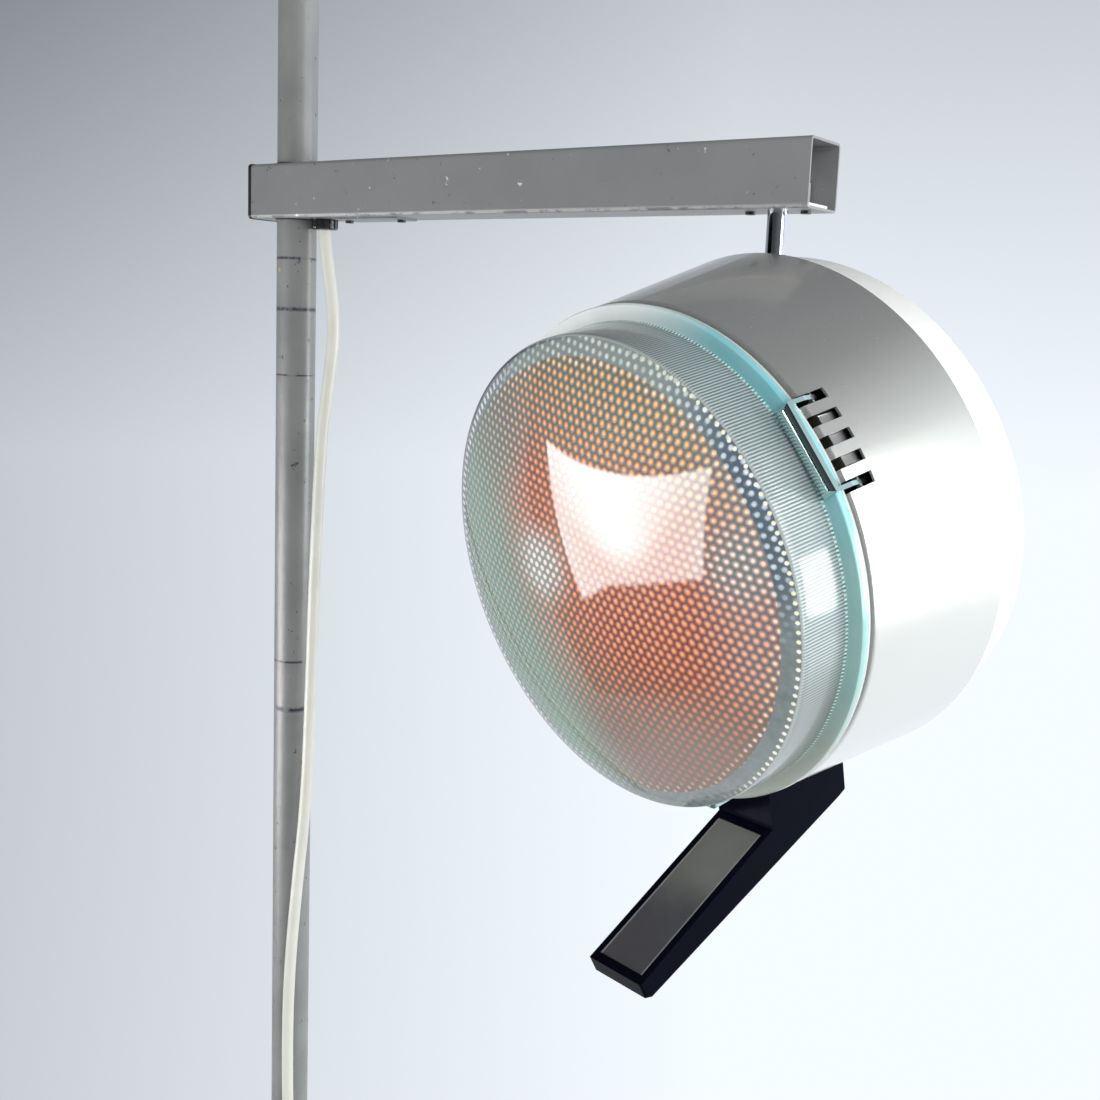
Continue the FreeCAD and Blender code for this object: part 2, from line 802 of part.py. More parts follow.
keep("terminal_block", block, moved(s.plate_centre, 0, s.arm_bottom))

# Swivel sleeve: a drilled block on a plate, screwed to the arm's floor at the open end.
sleeve = new_body("swivel_sleeve")
sleeve_sketch = sketch_on(sleeve, "XY")
half_sleeve = s.sleeve_plate_length / 2
draw(sleeve_sketch, rectangle(-half_sleeve, half_sleeve, -s.sleeve_plate_width / 2,
                              s.sleeve_plate_width / 2, s.sleeve_plate_corner))
for sign in (1, -1):
    draw_circle(sleeve_sketch, s.sleeve_screw_pitch * (sign / 2), 0, screw_hole)
pad(sleeve, sleeve_sketch, s.sleeve_plate_thickness)
half_swivel = s.sleeve_block_length / 2
block_side = s.sleeve_block_width / 2
block_sketch = sketch_on(sleeve, "XY")
draw(block_sketch, rectangle(-half_swivel, half_swivel, -block_side, block_side, s.sleeve_block_corner))
pad(sleeve, block_sketch, s.sleeve_height)
bore_sketch = sketch_on(sleeve, "XY")
draw_circle(bore_sketch, 0, 0, s.pin_diameter + s.running_clearance * 2)
pocket(sleeve, bore_sketch, s.sleeve_height + s.cut_overrun, back=True)
keep("swivel_sleeve", sleeve, moved(s.arm_reach, 0, arm_floor))
sleeve_screws = []
for sign in (1, -1):
    place = moved(s.arm_reach + s.sleeve_screw_pitch * (sign / 2), 0, s.arm_bottom)
    sleeve_screws.append(screw("sleeve_screw", s.screw_head, s.screw_head_height, s.screw_shank,
                               s.sleeve_screw_length, place))
keep("sleeve_screws", group("sleeve_screws", sleeve_screws))

# Swivel pin: a hollow chromed rod that hangs on its nut and washer above the sleeve.
sleeve_top = arm_floor + s.sleeve_height
washer_low = sleeve_top + s.running_clearance
nut_low = washer_low + s.washer_thickness
pin_top = nut_low + s.pin_nut_height + s.pin_thread_show
pin_low = pivot_height + s.pin_socket_floor
turned_body("swivel_pin", rectangle(s.pin_bore / 2, s.pin_diameter / 2, 0, pin_top - pin_low),
            place=moved(s.arm_reach, 0, pin_low))
turned_body("pin_washer", rectangle(s.pin_diameter / 2 + s.fit_clearance, s.washer_diameter / 2, 0,
                                    s.washer_thickness), place=moved(s.arm_reach, 0, washer_low))
pin_nut = cut("pin_nut", hexagon("pin_nut_blank", s.pin_nut_across, s.pin_nut_height),
              cylinder("pin_nut_bore", s.pin_diameter + s.fit_clearance * 2, s.pin_nut_height))
keep("pin_nut", pin_nut, moved(s.arm_reach, 0, nut_low))

# Lead: runs inside the arm from the terminal block, over the nut and down into the hollow pin.
lead_low = arm_floor + s.lead_height
lead_start = s.plate_centre + half_block + s.fit_clearance
lead_rise = s.arm_reach - s.lead_bend * 2
lead_points = [
    vector(lead_start, 0, lead_low),
    vector(lead_rise - s.lead_bend, 0, lead_low),
    vector(lead_rise, 0, lead_low + s.lead_bend),
    vector(lead_rise, 0, pin_top),
    vector(s.arm_reach, 0, pin_top),
    vector(s.arm_reach, 0, pin_top - s.lead_entry),
]
bend_share = math.sqrt(0.5)
low_bend = lead_points[1] + vector(s.lead_bend * bend_share, 0, s.lead_bend * (1 - bend_share))
crown = vector(lead_rise + s.lead_bend, 0, pin_top + s.lead_bend)
lead_wire = Part.Wire([
    Part.LineSegment(lead_points[0], lead_points[1]).toShape(),
    Part.Arc(lead_points[1], low_bend, lead_points[2]).toShape(),
    Part.LineSegment(lead_points[2], lead_points[3]).toShape(),
    Part.Arc(lead_points[3], crown, lead_points[4]).toShape(),
    Part.LineSegment(lead_points[4], lead_points[5]).toShape(),
])
lead_ring = Part.Wire([Part.makeCircle(s.lead_diameter.number / 2, lead_points[0], X_AXIS)])
arm_lead = doc.addObject("Part::Feature", "arm_lead")
arm_lead.Shape = lead_wire.makePipeShell([lead_ring], True, False)
keep("arm_lead", arm_lead)

# Knuckle: the pin's lower eye, clamped between the cheeks of the head's tilt bracket.
half_knuckle = s.knuckle_width / 2
crosswise = moved(0, half_knuckle, 0, about(X_AXIS, QUARTER_TURN))
eye = cylinder("knuckle_eye", s.knuckle_diameter, s.knuckle_width, crosswise)
neck = cylinder("knuckle_neck", s.neck_diameter, s.neck_height)
bolt_hole_diameter = s.bolt_diameter + s.running_clearance * 2
bolt_hole = cylinder("knuckle_bolt_hole", bolt_hole_diameter, s.knuckle_width, crosswise)
pin_socket = cylinder("knuckle_pin_socket", s.pin_diameter + s.fit_clearance, s.neck_height,
                      moved(0, 0, s.pin_socket_floor))
knuckle_holes = fuse("knuckle_holes", bolt_hole, pin_socket)
knuckle = cut("tilt_knuckle", fuse("knuckle_blank", eye, neck), knuckle_holes)
keep("tilt_knuckle", knuckle, pivot_place)

# Tilt bolt, nut and friction washers, along the head's cross axis.
pivot_in_head = moved(-s.pivot_behind, 0, pivot_above)
washer_face = half_knuckle + s.running_clearance
cheek_inner = washer_face + s.friction_washer_thickness + s.running_clearance
cheek_outer = cheek_inner + s.bracket_sheet
along_y = about(X_AXIS, -QUARTER_TURN)
bolt_clearance_hole = s.bolt_diameter + s.fit_clearance * 2
friction_washers = []
for sign in (1, -1):
    blank = cylinder("friction_washer_blank", s.friction_washer, s.friction_washer_thickness)
    hole = cylinder("friction_washer_hole", bolt_clearance_hole, s.friction_washer_thickness)
    ring = cut("friction_washer", blank, hole)
    ring.Placement = moved(0, washer_face * sign, 0, about(X_AXIS, -QUARTER_TURN * sign))
    friction_washers.append(ring)
keep("friction_washers", group("friction_washers", friction_washers), head_place * pivot_in_head)
bolt_tail = cheek_outer * 2 + s.bolt_head_height + s.pin_thread_show + s.seat_gap * 2
shank = cylinder("tilt_bolt_shank", s.bolt_diameter, bolt_tail)
head = hexagon("tilt_bolt_head", s.bolt_head_across, s.bolt_head_height, moved(0, 0, -s.bolt_head_height))
bolt = fuse("tilt_bolt", shank, head)
bolt_start = moved(0, -(cheek_outer + s.seat_gap), 0, along_y)
keep("tilt_bolt", bolt, head_place * pivot_in_head * bolt_start)
nut = cut("tilt_nut", hexagon("tilt_nut_blank", s.bolt_head_across, s.bolt_head_height),
          cylinder("tilt_nut_bore", bolt_clearance_hole, s.bolt_head_height))
keep("tilt_nut", nut, head_place * pivot_in_head * moved(0, cheek_outer + s.seat_gap, 0, along_y))

# Tilt bracket: a folded steel bracket, its base welded to the chassis ring and two cheeks reaching back.
bracket = new_body("tilt_bracket")
half_bracket = s.bracket_width / 2
bracket_low = pivot_above - s.bracket_below
bracket_high = pivot_above + s.bracket_above
base_sketch = sketch_on(bracket, "YZ")
draw(base_sketch, rectangle(-half_bracket, half_bracket, bracket_low, bracket_high, s.bracket_corner))
pad(bracket, base_sketch, s.bracket_sheet, back=True)
eye_back = s.pivot_behind - s.ring_back
eye_low = pivot_above - s.cheek_eye_radius
eye_high = pivot_above + s.cheek_eye_radius
cheek_sketch = draw(sketch_on(bracket, "XZ"), [
    (-s.bracket_sheet / 2, bracket_low),
    (-s.bracket_sheet / 2, bracket_high),
    (-eye_back, eye_high),
    (-eye_back, eye_low),
], arcs={2: (s.cheek_bow_radius, 1)})
pad(bracket, cheek_sketch, cheek_outer * 2, symmetric=True)
gap_sketch = sketch_on(bracket, "XZ")
draw(gap_sketch, rectangle(-eye_back - s.cheek_eye_radius - s.cut_overrun, -s.bracket_sheet,
                           bracket_low - s.cut_overrun, bracket_high + s.cut_overrun))
pocket(bracket, gap_sketch, cheek_inner * 2, symmetric=True)
bolt_sketch = sketch_on(bracket, "XZ")
draw_circle(bolt_sketch, -eye_back, pivot_above, bolt_clearance_hole)
pocket(bracket, bolt_sketch, (cheek_outer + s.cut_overrun) * 2, symmetric=True)
keep("tilt_bracket", bracket, head_place * moved(-s.ring_back - s.seat_gap, 0, 0))

# Chassis ring: an angle-section steel ring inside the drum that carries the bracket, bridge and posts.
skirt_front = s.ring_back - s.ring_skirt
turned_body("chassis_ring", [
    (-s.ring_back, ring_inner_radius),
    (-s.ring_back, drum_inside(s.ring_back) - s.fit_clearance),
    (-skirt_front, drum_inside(skirt_front) - s.fit_clearance),
    (-skirt_front, drum_inside(skirt_front) - s.fit_clearance - s.ring_skirt_wall),
    (-s.ring_front, drum_inside(s.ring_front) - s.fit_clearance - s.ring_skirt_wall),
    (-s.ring_front, ring_inner_radius),
], axis="H_Axis", place=head_place)

# Drum: a slightly tapered metal shell with a rounded shoulder, an inward lip and slots for the catches.
drum_blank = new_body("drum_blank")
lip_back = drum_front + s.drum_wall
revolve(drum_blank, draw(sketch_on(drum_blank, "XZ"), [
    (-drum_front, lip_radius),
    (-drum_front, drum_front_radius, s.drum_shoulder),
    (-s.drum_rear, s.drum_rear_radius),
    (-s.drum_rear, s.drum_rear_radius - s.drum_wall),
    (-lip_back, drum_inside(lip_back), s.drum_shoulder - s.drum_wall),
    (-lip_back, lip_radius),
]), "H_Axis")
first_catch = s.catch_angle.number - QUARTER_TURN
catch_turns = [about(X_AXIS, first_catch + index * FULL_TURN / SIZES["catch_count"])
               for index in range(SIZES["catch_count"])]
slot_top = s.drum_rear_radius - slot_floor
drum_tools = []
for turn in catch_turns:
    for index in range(SIZES["slot_count"]):
        offset = s.slot_pitch * (index - (SIZES["slot_count"] - 1) / 2)
        corner = moved(-s.slot_end, offset - s.slot_width / 2, slot_floor)
        drum_tools.append(box("slot", s.slot_end - s.flange_front, s.slot_width, slot_top,
                              FreeCAD.Placement(FreeCAD.Vector(), turn) * corner))
handle_screw_places = (s.handle_screw_front, s.handle_screw_rear)
for depth in handle_screw_places:
    downward = moved(-depth, 0, 0, about(X_AXIS, HALF_TURN))
    hole_diameter = s.handle_screw_shank + s.slide_gap * 2
    drum_tools.append(cylinder("handle_screw_hole", hole_diameter, s.drum_rear_radius, downward))
drum = cut("drum_housing", drum_blank, group("drum_cuts", drum_tools))
keep("drum_housing", drum, head_place)

# Front glass: a pressed lens with a domed face, a deep wall and a flange that the catches hold.
inner_wall = glass_wall_radius - s.glass_thickness
inner_rise = s.glass_dome - s.glass_thickness + s.glass_inner_set
inner_rim = glass_rim_radius - s.glass_thickness
turned_body("front_glass", [
    (s.glass_dome, 0),
    (0, glass_rim_radius),
    (-s.glass_edge_round, glass_rim_radius),
    (-s.flange_front, glass_wall_radius, s.glass_root_round),
    (-s.flange_front, flange_radius, s.flange_round),
    (-s.flange_back, flange_radius, s.flange_round),
    (-s.flange_back, inner_wall),
    (-s.glass_inner_set, inner_rim),
    (s.glass_dome - s.glass_thickness, 0),
], arcs={
    0: (bow(glass_rim_radius, s.glass_dome), 1),
    7: (bow(inner_rim, inner_rise), -1),
}, axis="H_Axis", place=head_place)
gasket_outer = flange_radius - s.gasket_inset
gasket_inner = gasket_outer - s.gasket_width
turned_body("lens_gasket", rectangle(-drum_front, -s.flange_back, gasket_inner, gasket_outer),
            axis="H_Axis", place=head_place)

# Catches: three chromed bails whose arms work in the outer slots and turn on rods under the drum's wall.
bar_back = s.flange_front - s.catch_hold_gap
bar_front = bar_back - s.catch_thickness
catch_inner = flange_radius - s.catch_grip
catch_outer = flange_radius + s.catch_stand_off
catch_pivot_radius = drum_front_radius - s.catch_pivot_inset
arm_low = catch_outer - s.catch_arm_depth
outer_slot = s.slot_pitch * ((SIZES["slot_count"] - 1) / 2)
catch_width = outer_slot * 2 + s.catch_arm_width
arm_gap = outer_slot * 2 - s.catch_arm_width
eye_end = s.catch_pivot_back + s.catch_eye_radius
eye_low = catch_pivot_radius - s.catch_eye_radius
eye_high = catch_pivot_radius + s.catch_eye_radius / 2
eye_round = s.catch_eye_radius / 2
bend_back = bar_back + s.catch_straight
half_bar = (catch_outer - catch_inner) / 2
bar_rise = s.catch_bar_bow - root(s.catch_bar_bow * s.catch_bar_bow - half_bar * half_bar)
corner_front = bar_front - bar_rise
rod_length = catch_width + s.catch_rod_overhang * 2
rod_bore = s.catch_rod_diameter + s.running_clearance * 2
half_wide = s.catch_block_width / 2
wall_over_block = drum_inside(s.catch_pivot_back - s.catch_block_length / 2)
block_top = root(wall_over_block * wall_over_block - half_wide * half_wide) - s.slide_gap
block_low = block_top - s.catch_block_height
catch_blocks = []
for index, turn in enumerate(catch_turns):
    label = "lens_catch_%d" % (index + 1)
    catch_place = head_place * FreeCAD.Placement(FreeCAD.Vector(), turn)
    bail = new_body(label)
    bail_sketch = draw(sketch_on(bail, "XZ"), [
        (-bar_front, catch_inner),
        (-bar_front, catch_outer),
        (-bend_back, catch_outer, s.catch_arm_depth),
        (-eye_end, eye_high, eye_round),
        (-eye_end, eye_low, eye_round),
        (-s.catch_pivot_back + s.catch_eye_radius, eye_low, s.catch_eye_radius),
        (-bend_back + s.catch_arm_depth, arm_low, s.catch_arm_depth),
        (-bar_back, arm_low),
        (-bar_back, catch_inner),
    ], arcs={0: (s.catch_bar_bow, 1)})
    pad(bail, bail_sketch, catch_width, symmetric=True)
    middle = sketch_on(bail, "XZ")
    gap_top = catch_outer + s.cut_overrun
    draw(middle, rectangle(-eye_end - s.cut_overrun, -bar_back, slot_floor, gap_top))
    pocket(bail, middle, arm_gap, symmetric=True)
    rod_hole = sketch_on(bail, "XZ")
    draw_circle(rod_hole, -s.catch_pivot_back, catch_pivot_radius, rod_bore)
    pocket(bail, rod_hole, catch_width + s.cut_overrun, symmetric=True)
    for sign in (1, -1):
        corner = sketch_on(bail, "XY")
        draw(corner, [
            (-corner_front, (catch_width / 2 - s.catch_corner) * sign),
            (-corner_front - s.catch_corner, catch_width / 2 * sign),
            (-corner_front - s.catch_corner, (catch_width / 2 + s.cut_overrun) * sign),
            (-corner_front + s.cut_overrun, (catch_width / 2 + s.cut_overrun) * sign),
            (-corner_front + s.cut_overrun, (catch_width / 2 - s.catch_corner) * sign),
        ], arcs={0: (s.catch_corner, sign)})
        pocket(bail, corner, gap_top, back=True)
    keep(label, bail, catch_place)
    holder = new_body("catch_holder_%d" % (index + 1))
    holder_sketch = sketch_on(holder, "YZ")
    draw(holder_sketch, rectangle(-half_wide, half_wide, block_low, block_top, s.catch_block_round))
    pad(holder, holder_sketch, s.catch_block_length, symmetric=True)
    rod_sketch = sketch_on(holder, "XZ")
    draw_circle(rod_sketch, 0, catch_pivot_radius, s.catch_rod_diameter)
    pad(holder, rod_sketch, rod_length, symmetric=True)
    holder.Placement = FreeCAD.Placement(FreeCAD.Vector(), turn) * moved(-s.catch_pivot_back, 0, 0)
    catch_blocks.append(holder)
keep("catch_brackets", group("catch_brackets", catch_blocks), head_place)

# Reflector: a thin dichroic bowl behind the glass, its rim against the drum's lip.
mouth = lip_back + s.seat_gap
reflector_outer_bow = s.reflector_bow_radius + s.reflector_wall
reflector_radius = drum_front_radius - s.reflector_inset
mouth_radius = reflector_radius - s.reflector_rim
turned_body("reflector", [
    (-mouth, reflector_radius),
    (-mouth, mouth_radius),
    (-s.reflector_back, s.reflector_apex_radius),
    (-s.reflector_back - s.reflector_wall, s.reflector_apex_radius),
    (-mouth - s.reflector_wall, mouth_radius + s.reflector_wall),
    (-mouth - s.reflector_wall, reflector_radius),
], arcs={
    1: (s.reflector_bow_radius, 1),
    3: (reflector_outer_bow, -1),
}, axis="H_Axis", place=head_place)

# Bulb and its ceramic lampholder, on the head's axis, carried by a folded bridge on the chassis ring.
turned_body("bulb", [
    (-s.bulb_tip, 0),
    (-s.bulb_tip, s.bulb_radius, s.bulb_tip_round),
    (-s.bulb_seat + s.bulb_neck_length, s.bulb_radius, s.bulb_shoulder_round),
    (-s.bulb_seat + s.bulb_neck_length, s.bulb_neck_radius),
    (-s.bulb_seat, s.bulb_neck_radius),
    (-s.bulb_seat, 0),
], axis="H_Axis", place=head_place)
holder_front = s.bulb_seat + s.seat_gap
turned_body("bulb_socket", [
    (-holder_front, 0),
    (-holder_front, s.lampholder_nose_radius),
    (-holder_front - s.lampholder_nose, s.lampholder_nose_radius),
    (-holder_front - s.lampholder_nose, s.lampholder_radius),
    (-holder_front - s.lampholder_length, s.lampholder_radius),
    (-holder_front - s.lampholder_length, 0),
], axis="H_Axis", place=head_place)
bridge = new_body("socket_bridge")
bridge_top = holder_front + s.lampholder_nose
bridge_inside = bridge_top - s.seat_gap - s.bridge_sheet
half_span = ring_inner_radius - s.bridge_inset
bridge_foot = ring_inner_radius + s.bridge_foot_length
ring_face = s.ring_back + s.seat_gap
bridge_sketch = draw(sketch_on(bridge, "XY"), [
    (-ring_face, bridge_foot),
    (-ring_face, half_span),
    (-bridge_inside, half_span),
    (-bridge_inside, -half_span),
    (-ring_face, -half_span),
    (-ring_face, -bridge_foot),
    (-ring_face - s.bridge_sheet, -bridge_foot),
    (-ring_face - s.bridge_sheet, -half_span - s.bridge_sheet),
    (-bridge_inside - s.bridge_sheet, -half_span - s.bridge_sheet),
    (-bridge_inside - s.bridge_sheet, half_span + s.bridge_sheet),
    (-ring_face - s.bridge_sheet, half_span + s.bridge_sheet),
    (-ring_face - s.bridge_sheet, bridge_foot),
])
pad(bridge, bridge_sketch, s.bridge_width, symmetric=True)
nose_sketch = sketch_on(bridge, "YZ")
draw_circle(nose_sketch, 0, 0, s.lampholder_nose_radius * 2 + s.slide_gap * 2)
pocket(bridge, nose_sketch, bridge_top + s.cut_overrun)
keep("socket_bridge", bridge, head_place)

# Rear cover: a moulded pan plugged into the drum's rear edge, slotted for the pin, vented at the back.
cover = new_body("rear_cover_blank")
cover_front = s.drum_rear + s.cover_seam
spigot_tip = s.drum_rear - s.cover_spigot
spigot_radius = drum_inside(spigot_tip) - s.slide_gap
cover_radius = s.drum_rear_radius - s.cover_step
cover_back_radius = cover_radius - s.cover_taper
revolve(cover, draw(sketch_on(cover, "XZ"), [
    (-spigot_tip, spigot_radius),
    (-cover_front, spigot_radius),
    (-cover_front, cover_radius),
    (-s.cover_back, cover_back_radius, s.cover_corner),
    (-s.cover_back, 0),
    (-s.cover_back + s.cover_wall, 0),
    (-s.cover_back + s.cover_wall, cover_back_radius - s.cover_wall, s.cover_corner - s.cover_wall),
    (-cover_front, spigot_radius - s.cover_wall),
    (-spigot_tip, spigot_radius - s.cover_wall),
]), "H_Axis")
vent_sketch = sketch_on(cover, "YZ")
vent_half = s.vent_width / 2
vent_outer = switch_height - s.vent_clear
vent_inner = vent_outer - s.vent_length
vent_round_share = 0.98
vent_round = vent_half * vent_round_share
draw(vent_sketch, rectangle(-vent_half, vent_half, vent_inner, vent_outer, vent_round))
vent = pocket(cover, vent_sketch, s.cover_back + s.cut_overrun)
polar(cover, vent, vent_sketch, "N_Axis", s.vent_count)
slot_sketch = sketch_on(cover, "XZ")


def slot_point(reach, angle):
    """A point in the plane of the pin's swing, seen from the tilt axis."""
    return (-s.pivot_behind - reach * sine(angle), pivot_above + reach * cosine(angle))


mid_angle = (s.pin_slot_back_angle - s.pin_slot_front_angle) / 2
slot_mid_share = 1.3
draw(slot_sketch, [
    slot_point(s.pin_slot_start, -s.pin_slot_front_angle),
    slot_point(s.pin_slot_reach, -s.pin_slot_front_angle),
    slot_point(s.pin_slot_reach * slot_mid_share, mid_angle),
    slot_point(s.pin_slot_reach, s.pin_slot_back_angle),
    slot_point(s.pin_slot_start, s.pin_slot_back_angle),
    slot_point(s.pin_slot_start, mid_angle),
])
pocket(cover, slot_sketch, s.pin_slot_width, symmetric=True)
switch_hole = sketch_on(cover, "YZ")
switch_half = s.switch_length / 2 + s.slide_gap
switch_side = s.switch_width / 2 + s.slide_gap
switch_low = -switch_height - switch_side
draw(switch_hole, rectangle(-switch_half, switch_half, switch_low, -switch_height + switch_side))
pocket(cover, switch_hole, s.cover_back + s.cut_overrun)
post_step = FULL_TURN / SIZES["post_count"]
post_turns = [about(X_AXIS, HALF_TURN + index * post_step) for index in range(SIZES["post_count"])]
forward = about(Y_AXIS, QUARTER_TURN)
cover_holes = []
for turn in post_turns:
    behind = moved(-s.cover_back - s.cut_overrun, 0, post_circle_radius, forward)
    spot = FreeCAD.Placement(FreeCAD.Vector(), turn) * behind
    cover_holes.append(cylinder("cover_screw_hole", s.cover_screw_shank + s.slide_gap * 2,
                                s.cover_wall + s.cut_overrun * 2, spot))
keep("rear_cover", cut("rear_cover", cover, group("cover_holes", cover_holes)), head_place)

# Posts from the chassis ring to the cover's back, and the screws that hold the cover on them.
post_length = s.cover_back - s.cover_wall - s.ring_back - s.seat_gap * 2
posts = []
cover_screws = []
for turn in post_turns:
    rotated = FreeCAD.Placement(FreeCAD.Vector(), turn)
    blank = cylinder("post_blank", s.post_diameter, post_length)
    bore = cylinder("post_bore", s.cover_screw_shank + s.fit_clearance * 2, s.cover_screw_length)
    post = cut("cover_post", blank, bore)
    post_start = -s.cover_back + s.cover_wall + s.seat_gap
    post.Placement = rotated * moved(post_start, 0, post_circle_radius, forward)
    posts.append(post)
    place = rotated * moved(-s.cover_back, 0, post_circle_radius, forward)
    cover_screws.append(screw("cover_screw", s.cover_screw_head, s.cover_screw_head_height,
                              s.cover_screw_shank, s.cover_screw_length, place))
keep("cover_posts", group("cover_posts", posts), head_place)
keep("cover_screws", group("cover_screws", cover_screws), head_place)

# Mains switch: a body clipped into the cover's back, and the rocker that turns in it.
switch = new_body("switch_body")
flange_half = s.switch_length / 2 + s.switch_flange
flange_side = s.switch_width / 2 + s.switch_flange
flange_sketch = sketch_on(switch, "YZ")
draw(flange_sketch, rectangle(-flange_half, flange_half, -flange_side, flange_side, s.switch_flange))
pad(switch, flange_sketch, s.switch_flange_thickness, back=True)
case_sketch = sketch_on(switch, "YZ")
case_half = s.switch_length / 2
case_side = s.switch_width / 2
draw(case_sketch, rectangle(-case_half, case_half, -case_side, case_side))
pad(switch, case_sketch, s.switch_depth)
well_half = s.rocker_length / 2 + s.rocker_gap
well_side = s.rocker_width / 2 + s.rocker_side_gap
well_depth = s.rocker_depth + s.rocker_gap * 2
well_sketch = sketch_on(switch, "XY")
draw(well_sketch, rectangle(-s.switch_flange_thickness - s.cut_overrun, well_depth, -well_half, well_half))
pocket(switch, well_sketch, well_side * 2, symmetric=True)
trunnion_sketch = sketch_on(switch, "XY")
draw_circle(trunnion_sketch, s.rocker_depth / 2, 0, s.rocker_pin_diameter + s.running_clearance * 2)
trunnion_reach = s.rocker_width / 2 + s.rocker_pin_length + s.rocker_side_gap
pocket(switch, trunnion_sketch, trunnion_reach * 2, symmetric=True)
switch_place = head_place * moved(-s.cover_back, 0, -switch_height)
keep("switch_body", switch, switch_place)
rocker = new_body("switch_rocker")
half_rocker = s.rocker_length / 2
rocker_sketch = draw(sketch_on(rocker, "XY"), [
    (s.rocker_depth, -half_rocker / 2),
    (s.rocker_depth, half_rocker / 2),
    (s.rocker_depth / 2, half_rocker),
    (-s.switch_flange_thickness - s.rocker_ends, half_rocker),
    (-s.switch_flange_thickness - s.rocker_dip, 0),
    (-s.switch_flange_thickness - s.rocker_ends, -half_rocker),
    (s.rocker_depth / 2, -half_rocker),
])
pad(rocker, rocker_sketch, s.rocker_width, symmetric=True)
rocker_pin = sketch_on(rocker, "XY")
draw_circle(rocker_pin, s.rocker_depth / 2, 0, s.rocker_pin_diameter)
pad(rocker, rocker_pin, s.rocker_width + s.rocker_pin_length * 2, symmetric=True)
to_trunnion = moved(s.rocker_depth / 2, 0, 0)
rocker_turn = FreeCAD.Placement(FreeCAD.Vector(), about(Z_AXIS, -s.rocker_angle.number))
keep("switch_rocker", rocker, switch_place * to_trunnion * rocker_turn * to_trunnion.inverse())

# Handle: a moulded boomerang lever under the drum, its grip pointing forwards and down.
elbow_x = -s.handle_front
elbow_z = -s.drum_rear_radius - s.elbow_drop
run_x = cosine(s.grip_angle)
run_z = -sine(s.grip_angle)
tip_x = elbow_x + s.grip_length * run_x
tip_z = elbow_z + s.grip_length * run_z
under_x = tip_x + s.tip_thickness * run_z
under_z = tip_z - s.tip_thickness * run_x
saddle = -drum_front_radius + s.cut_overrun
tip_share = 0.5
handle_blank = new_body("handle_blank")
handle_sketch = draw(sketch_on(handle_blank, "XZ"), [
    (elbow_x, saddle),
    (elbow_x, elbow_z),
    (tip_x, tip_z),
    (under_x + s.tip_bevel * (run_x - run_z) * tip_share, under_z + s.tip_bevel * run_x),
    (under_x - s.tip_bevel * run_x, under_z - s.tip_bevel * run_z),
    (-s.handle_rear + s.heel_bevel, -s.drum_rear_radius - s.heel_drop),
    (-s.handle_rear, -s.drum_rear_radius - s.heel_drop + s.heel_bevel_drop),
    (-s.handle_rear, saddle),
])
handle_pad = pad(handle_blank, handle_sketch, s.handle_width, symmetric=True)
doc.recompute()
side = s.handle_width.number / 2
side_edges = []
for index, edge in enumerate(handle_pad.Shape.Edges, start=1):
    flat = all(abs(abs(corner.Y) - side) < s.fit_clearance.number for corner in edge.Vertexes)
    below = max(corner.Z for corner in edge.Vertexes) < saddle.number - s.cut_overrun.number
    along = abs(edge.Vertexes[0].Y - edge.Vertexes[-1].Y) < s.fit_clearance.number
    if flat and below and along:
        side_edges.append("Edge%d" % index)
rounding = handle_blank.newObject("PartDesign::Fillet", "handle_edges")
rounding.Base = (handle_pad, side_edges)
bind(rounding, "Radius", s.handle_round)


def grip_point(distance, depth):
    """A point along the grip's upper face, at a depth below it."""
    return (elbow_x + distance * run_x + depth * run_z, elbow_z + distance * run_z - depth * run_x)


panel_end = s.grip_length - s.panel_margin
recess_sketch = draw(sketch_on(handle_blank, "XZ"), [
    grip_point(s.panel_margin, s.panel_recess),
    grip_point(panel_end, s.panel_recess),
    grip_point(panel_end, -s.cut_overrun),
    grip_point(s.panel_margin, -s.cut_overrun),
])
pocket(handle_blank, recess_sketch, s.panel_width, symmetric=True)
saddle_length = s.handle_rear - s.flange_front + s.cut_overrun
saddle_cone = doc.addObject("Part::Cone", "handle_saddle")
saddle_front = drum_front_radius + drum_slope * (s.flange_front - drum_front) + s.seat_gap
bind(saddle_cone, "Radius1", saddle_front)
bind(saddle_cone, "Radius2", saddle_front + drum_slope * saddle_length)
bind(saddle_cone, "Height", saddle_length)
saddle_cone.Placement = moved(-s.flange_front, 0, 0, about(Y_AXIS, -QUARTER_TURN))
handle_tools = [saddle_cone]
handle_bore = s.handle_screw_shank + s.fit_clearance * 2
for depth in handle_screw_places:
    downward = moved(-depth, 0, 0, about(X_AXIS, HALF_TURN))
    bore_reach = drum_inside(depth) + s.handle_screw_length
    handle_tools.append(cylinder("handle_screw_bore", handle_bore, bore_reach, downward))
keep("handle_body", cut("handle_body", handle_blank, group("handle_cuts", handle_tools)), head_place)

# Inlay: a smoked glossy strip set in the grip's upper face.
inlay = new_body("handle_panel")
inlay_sketch = draw(sketch_on(inlay, "XZ"), [
    grip_point(s.panel_margin + s.panel_gap, s.panel_recess - s.seat_gap),
    grip_point(panel_end - s.panel_gap, s.panel_recess - s.seat_gap),
    grip_point(panel_end - s.panel_gap, s.panel_recess - s.panel_thickness),
    grip_point(s.panel_margin + s.panel_gap, s.panel_recess - s.panel_thickness),
])
pad(inlay, inlay_sketch, s.panel_width - s.panel_gap * 2, symmetric=True)
keep("handle_panel", inlay, head_place)

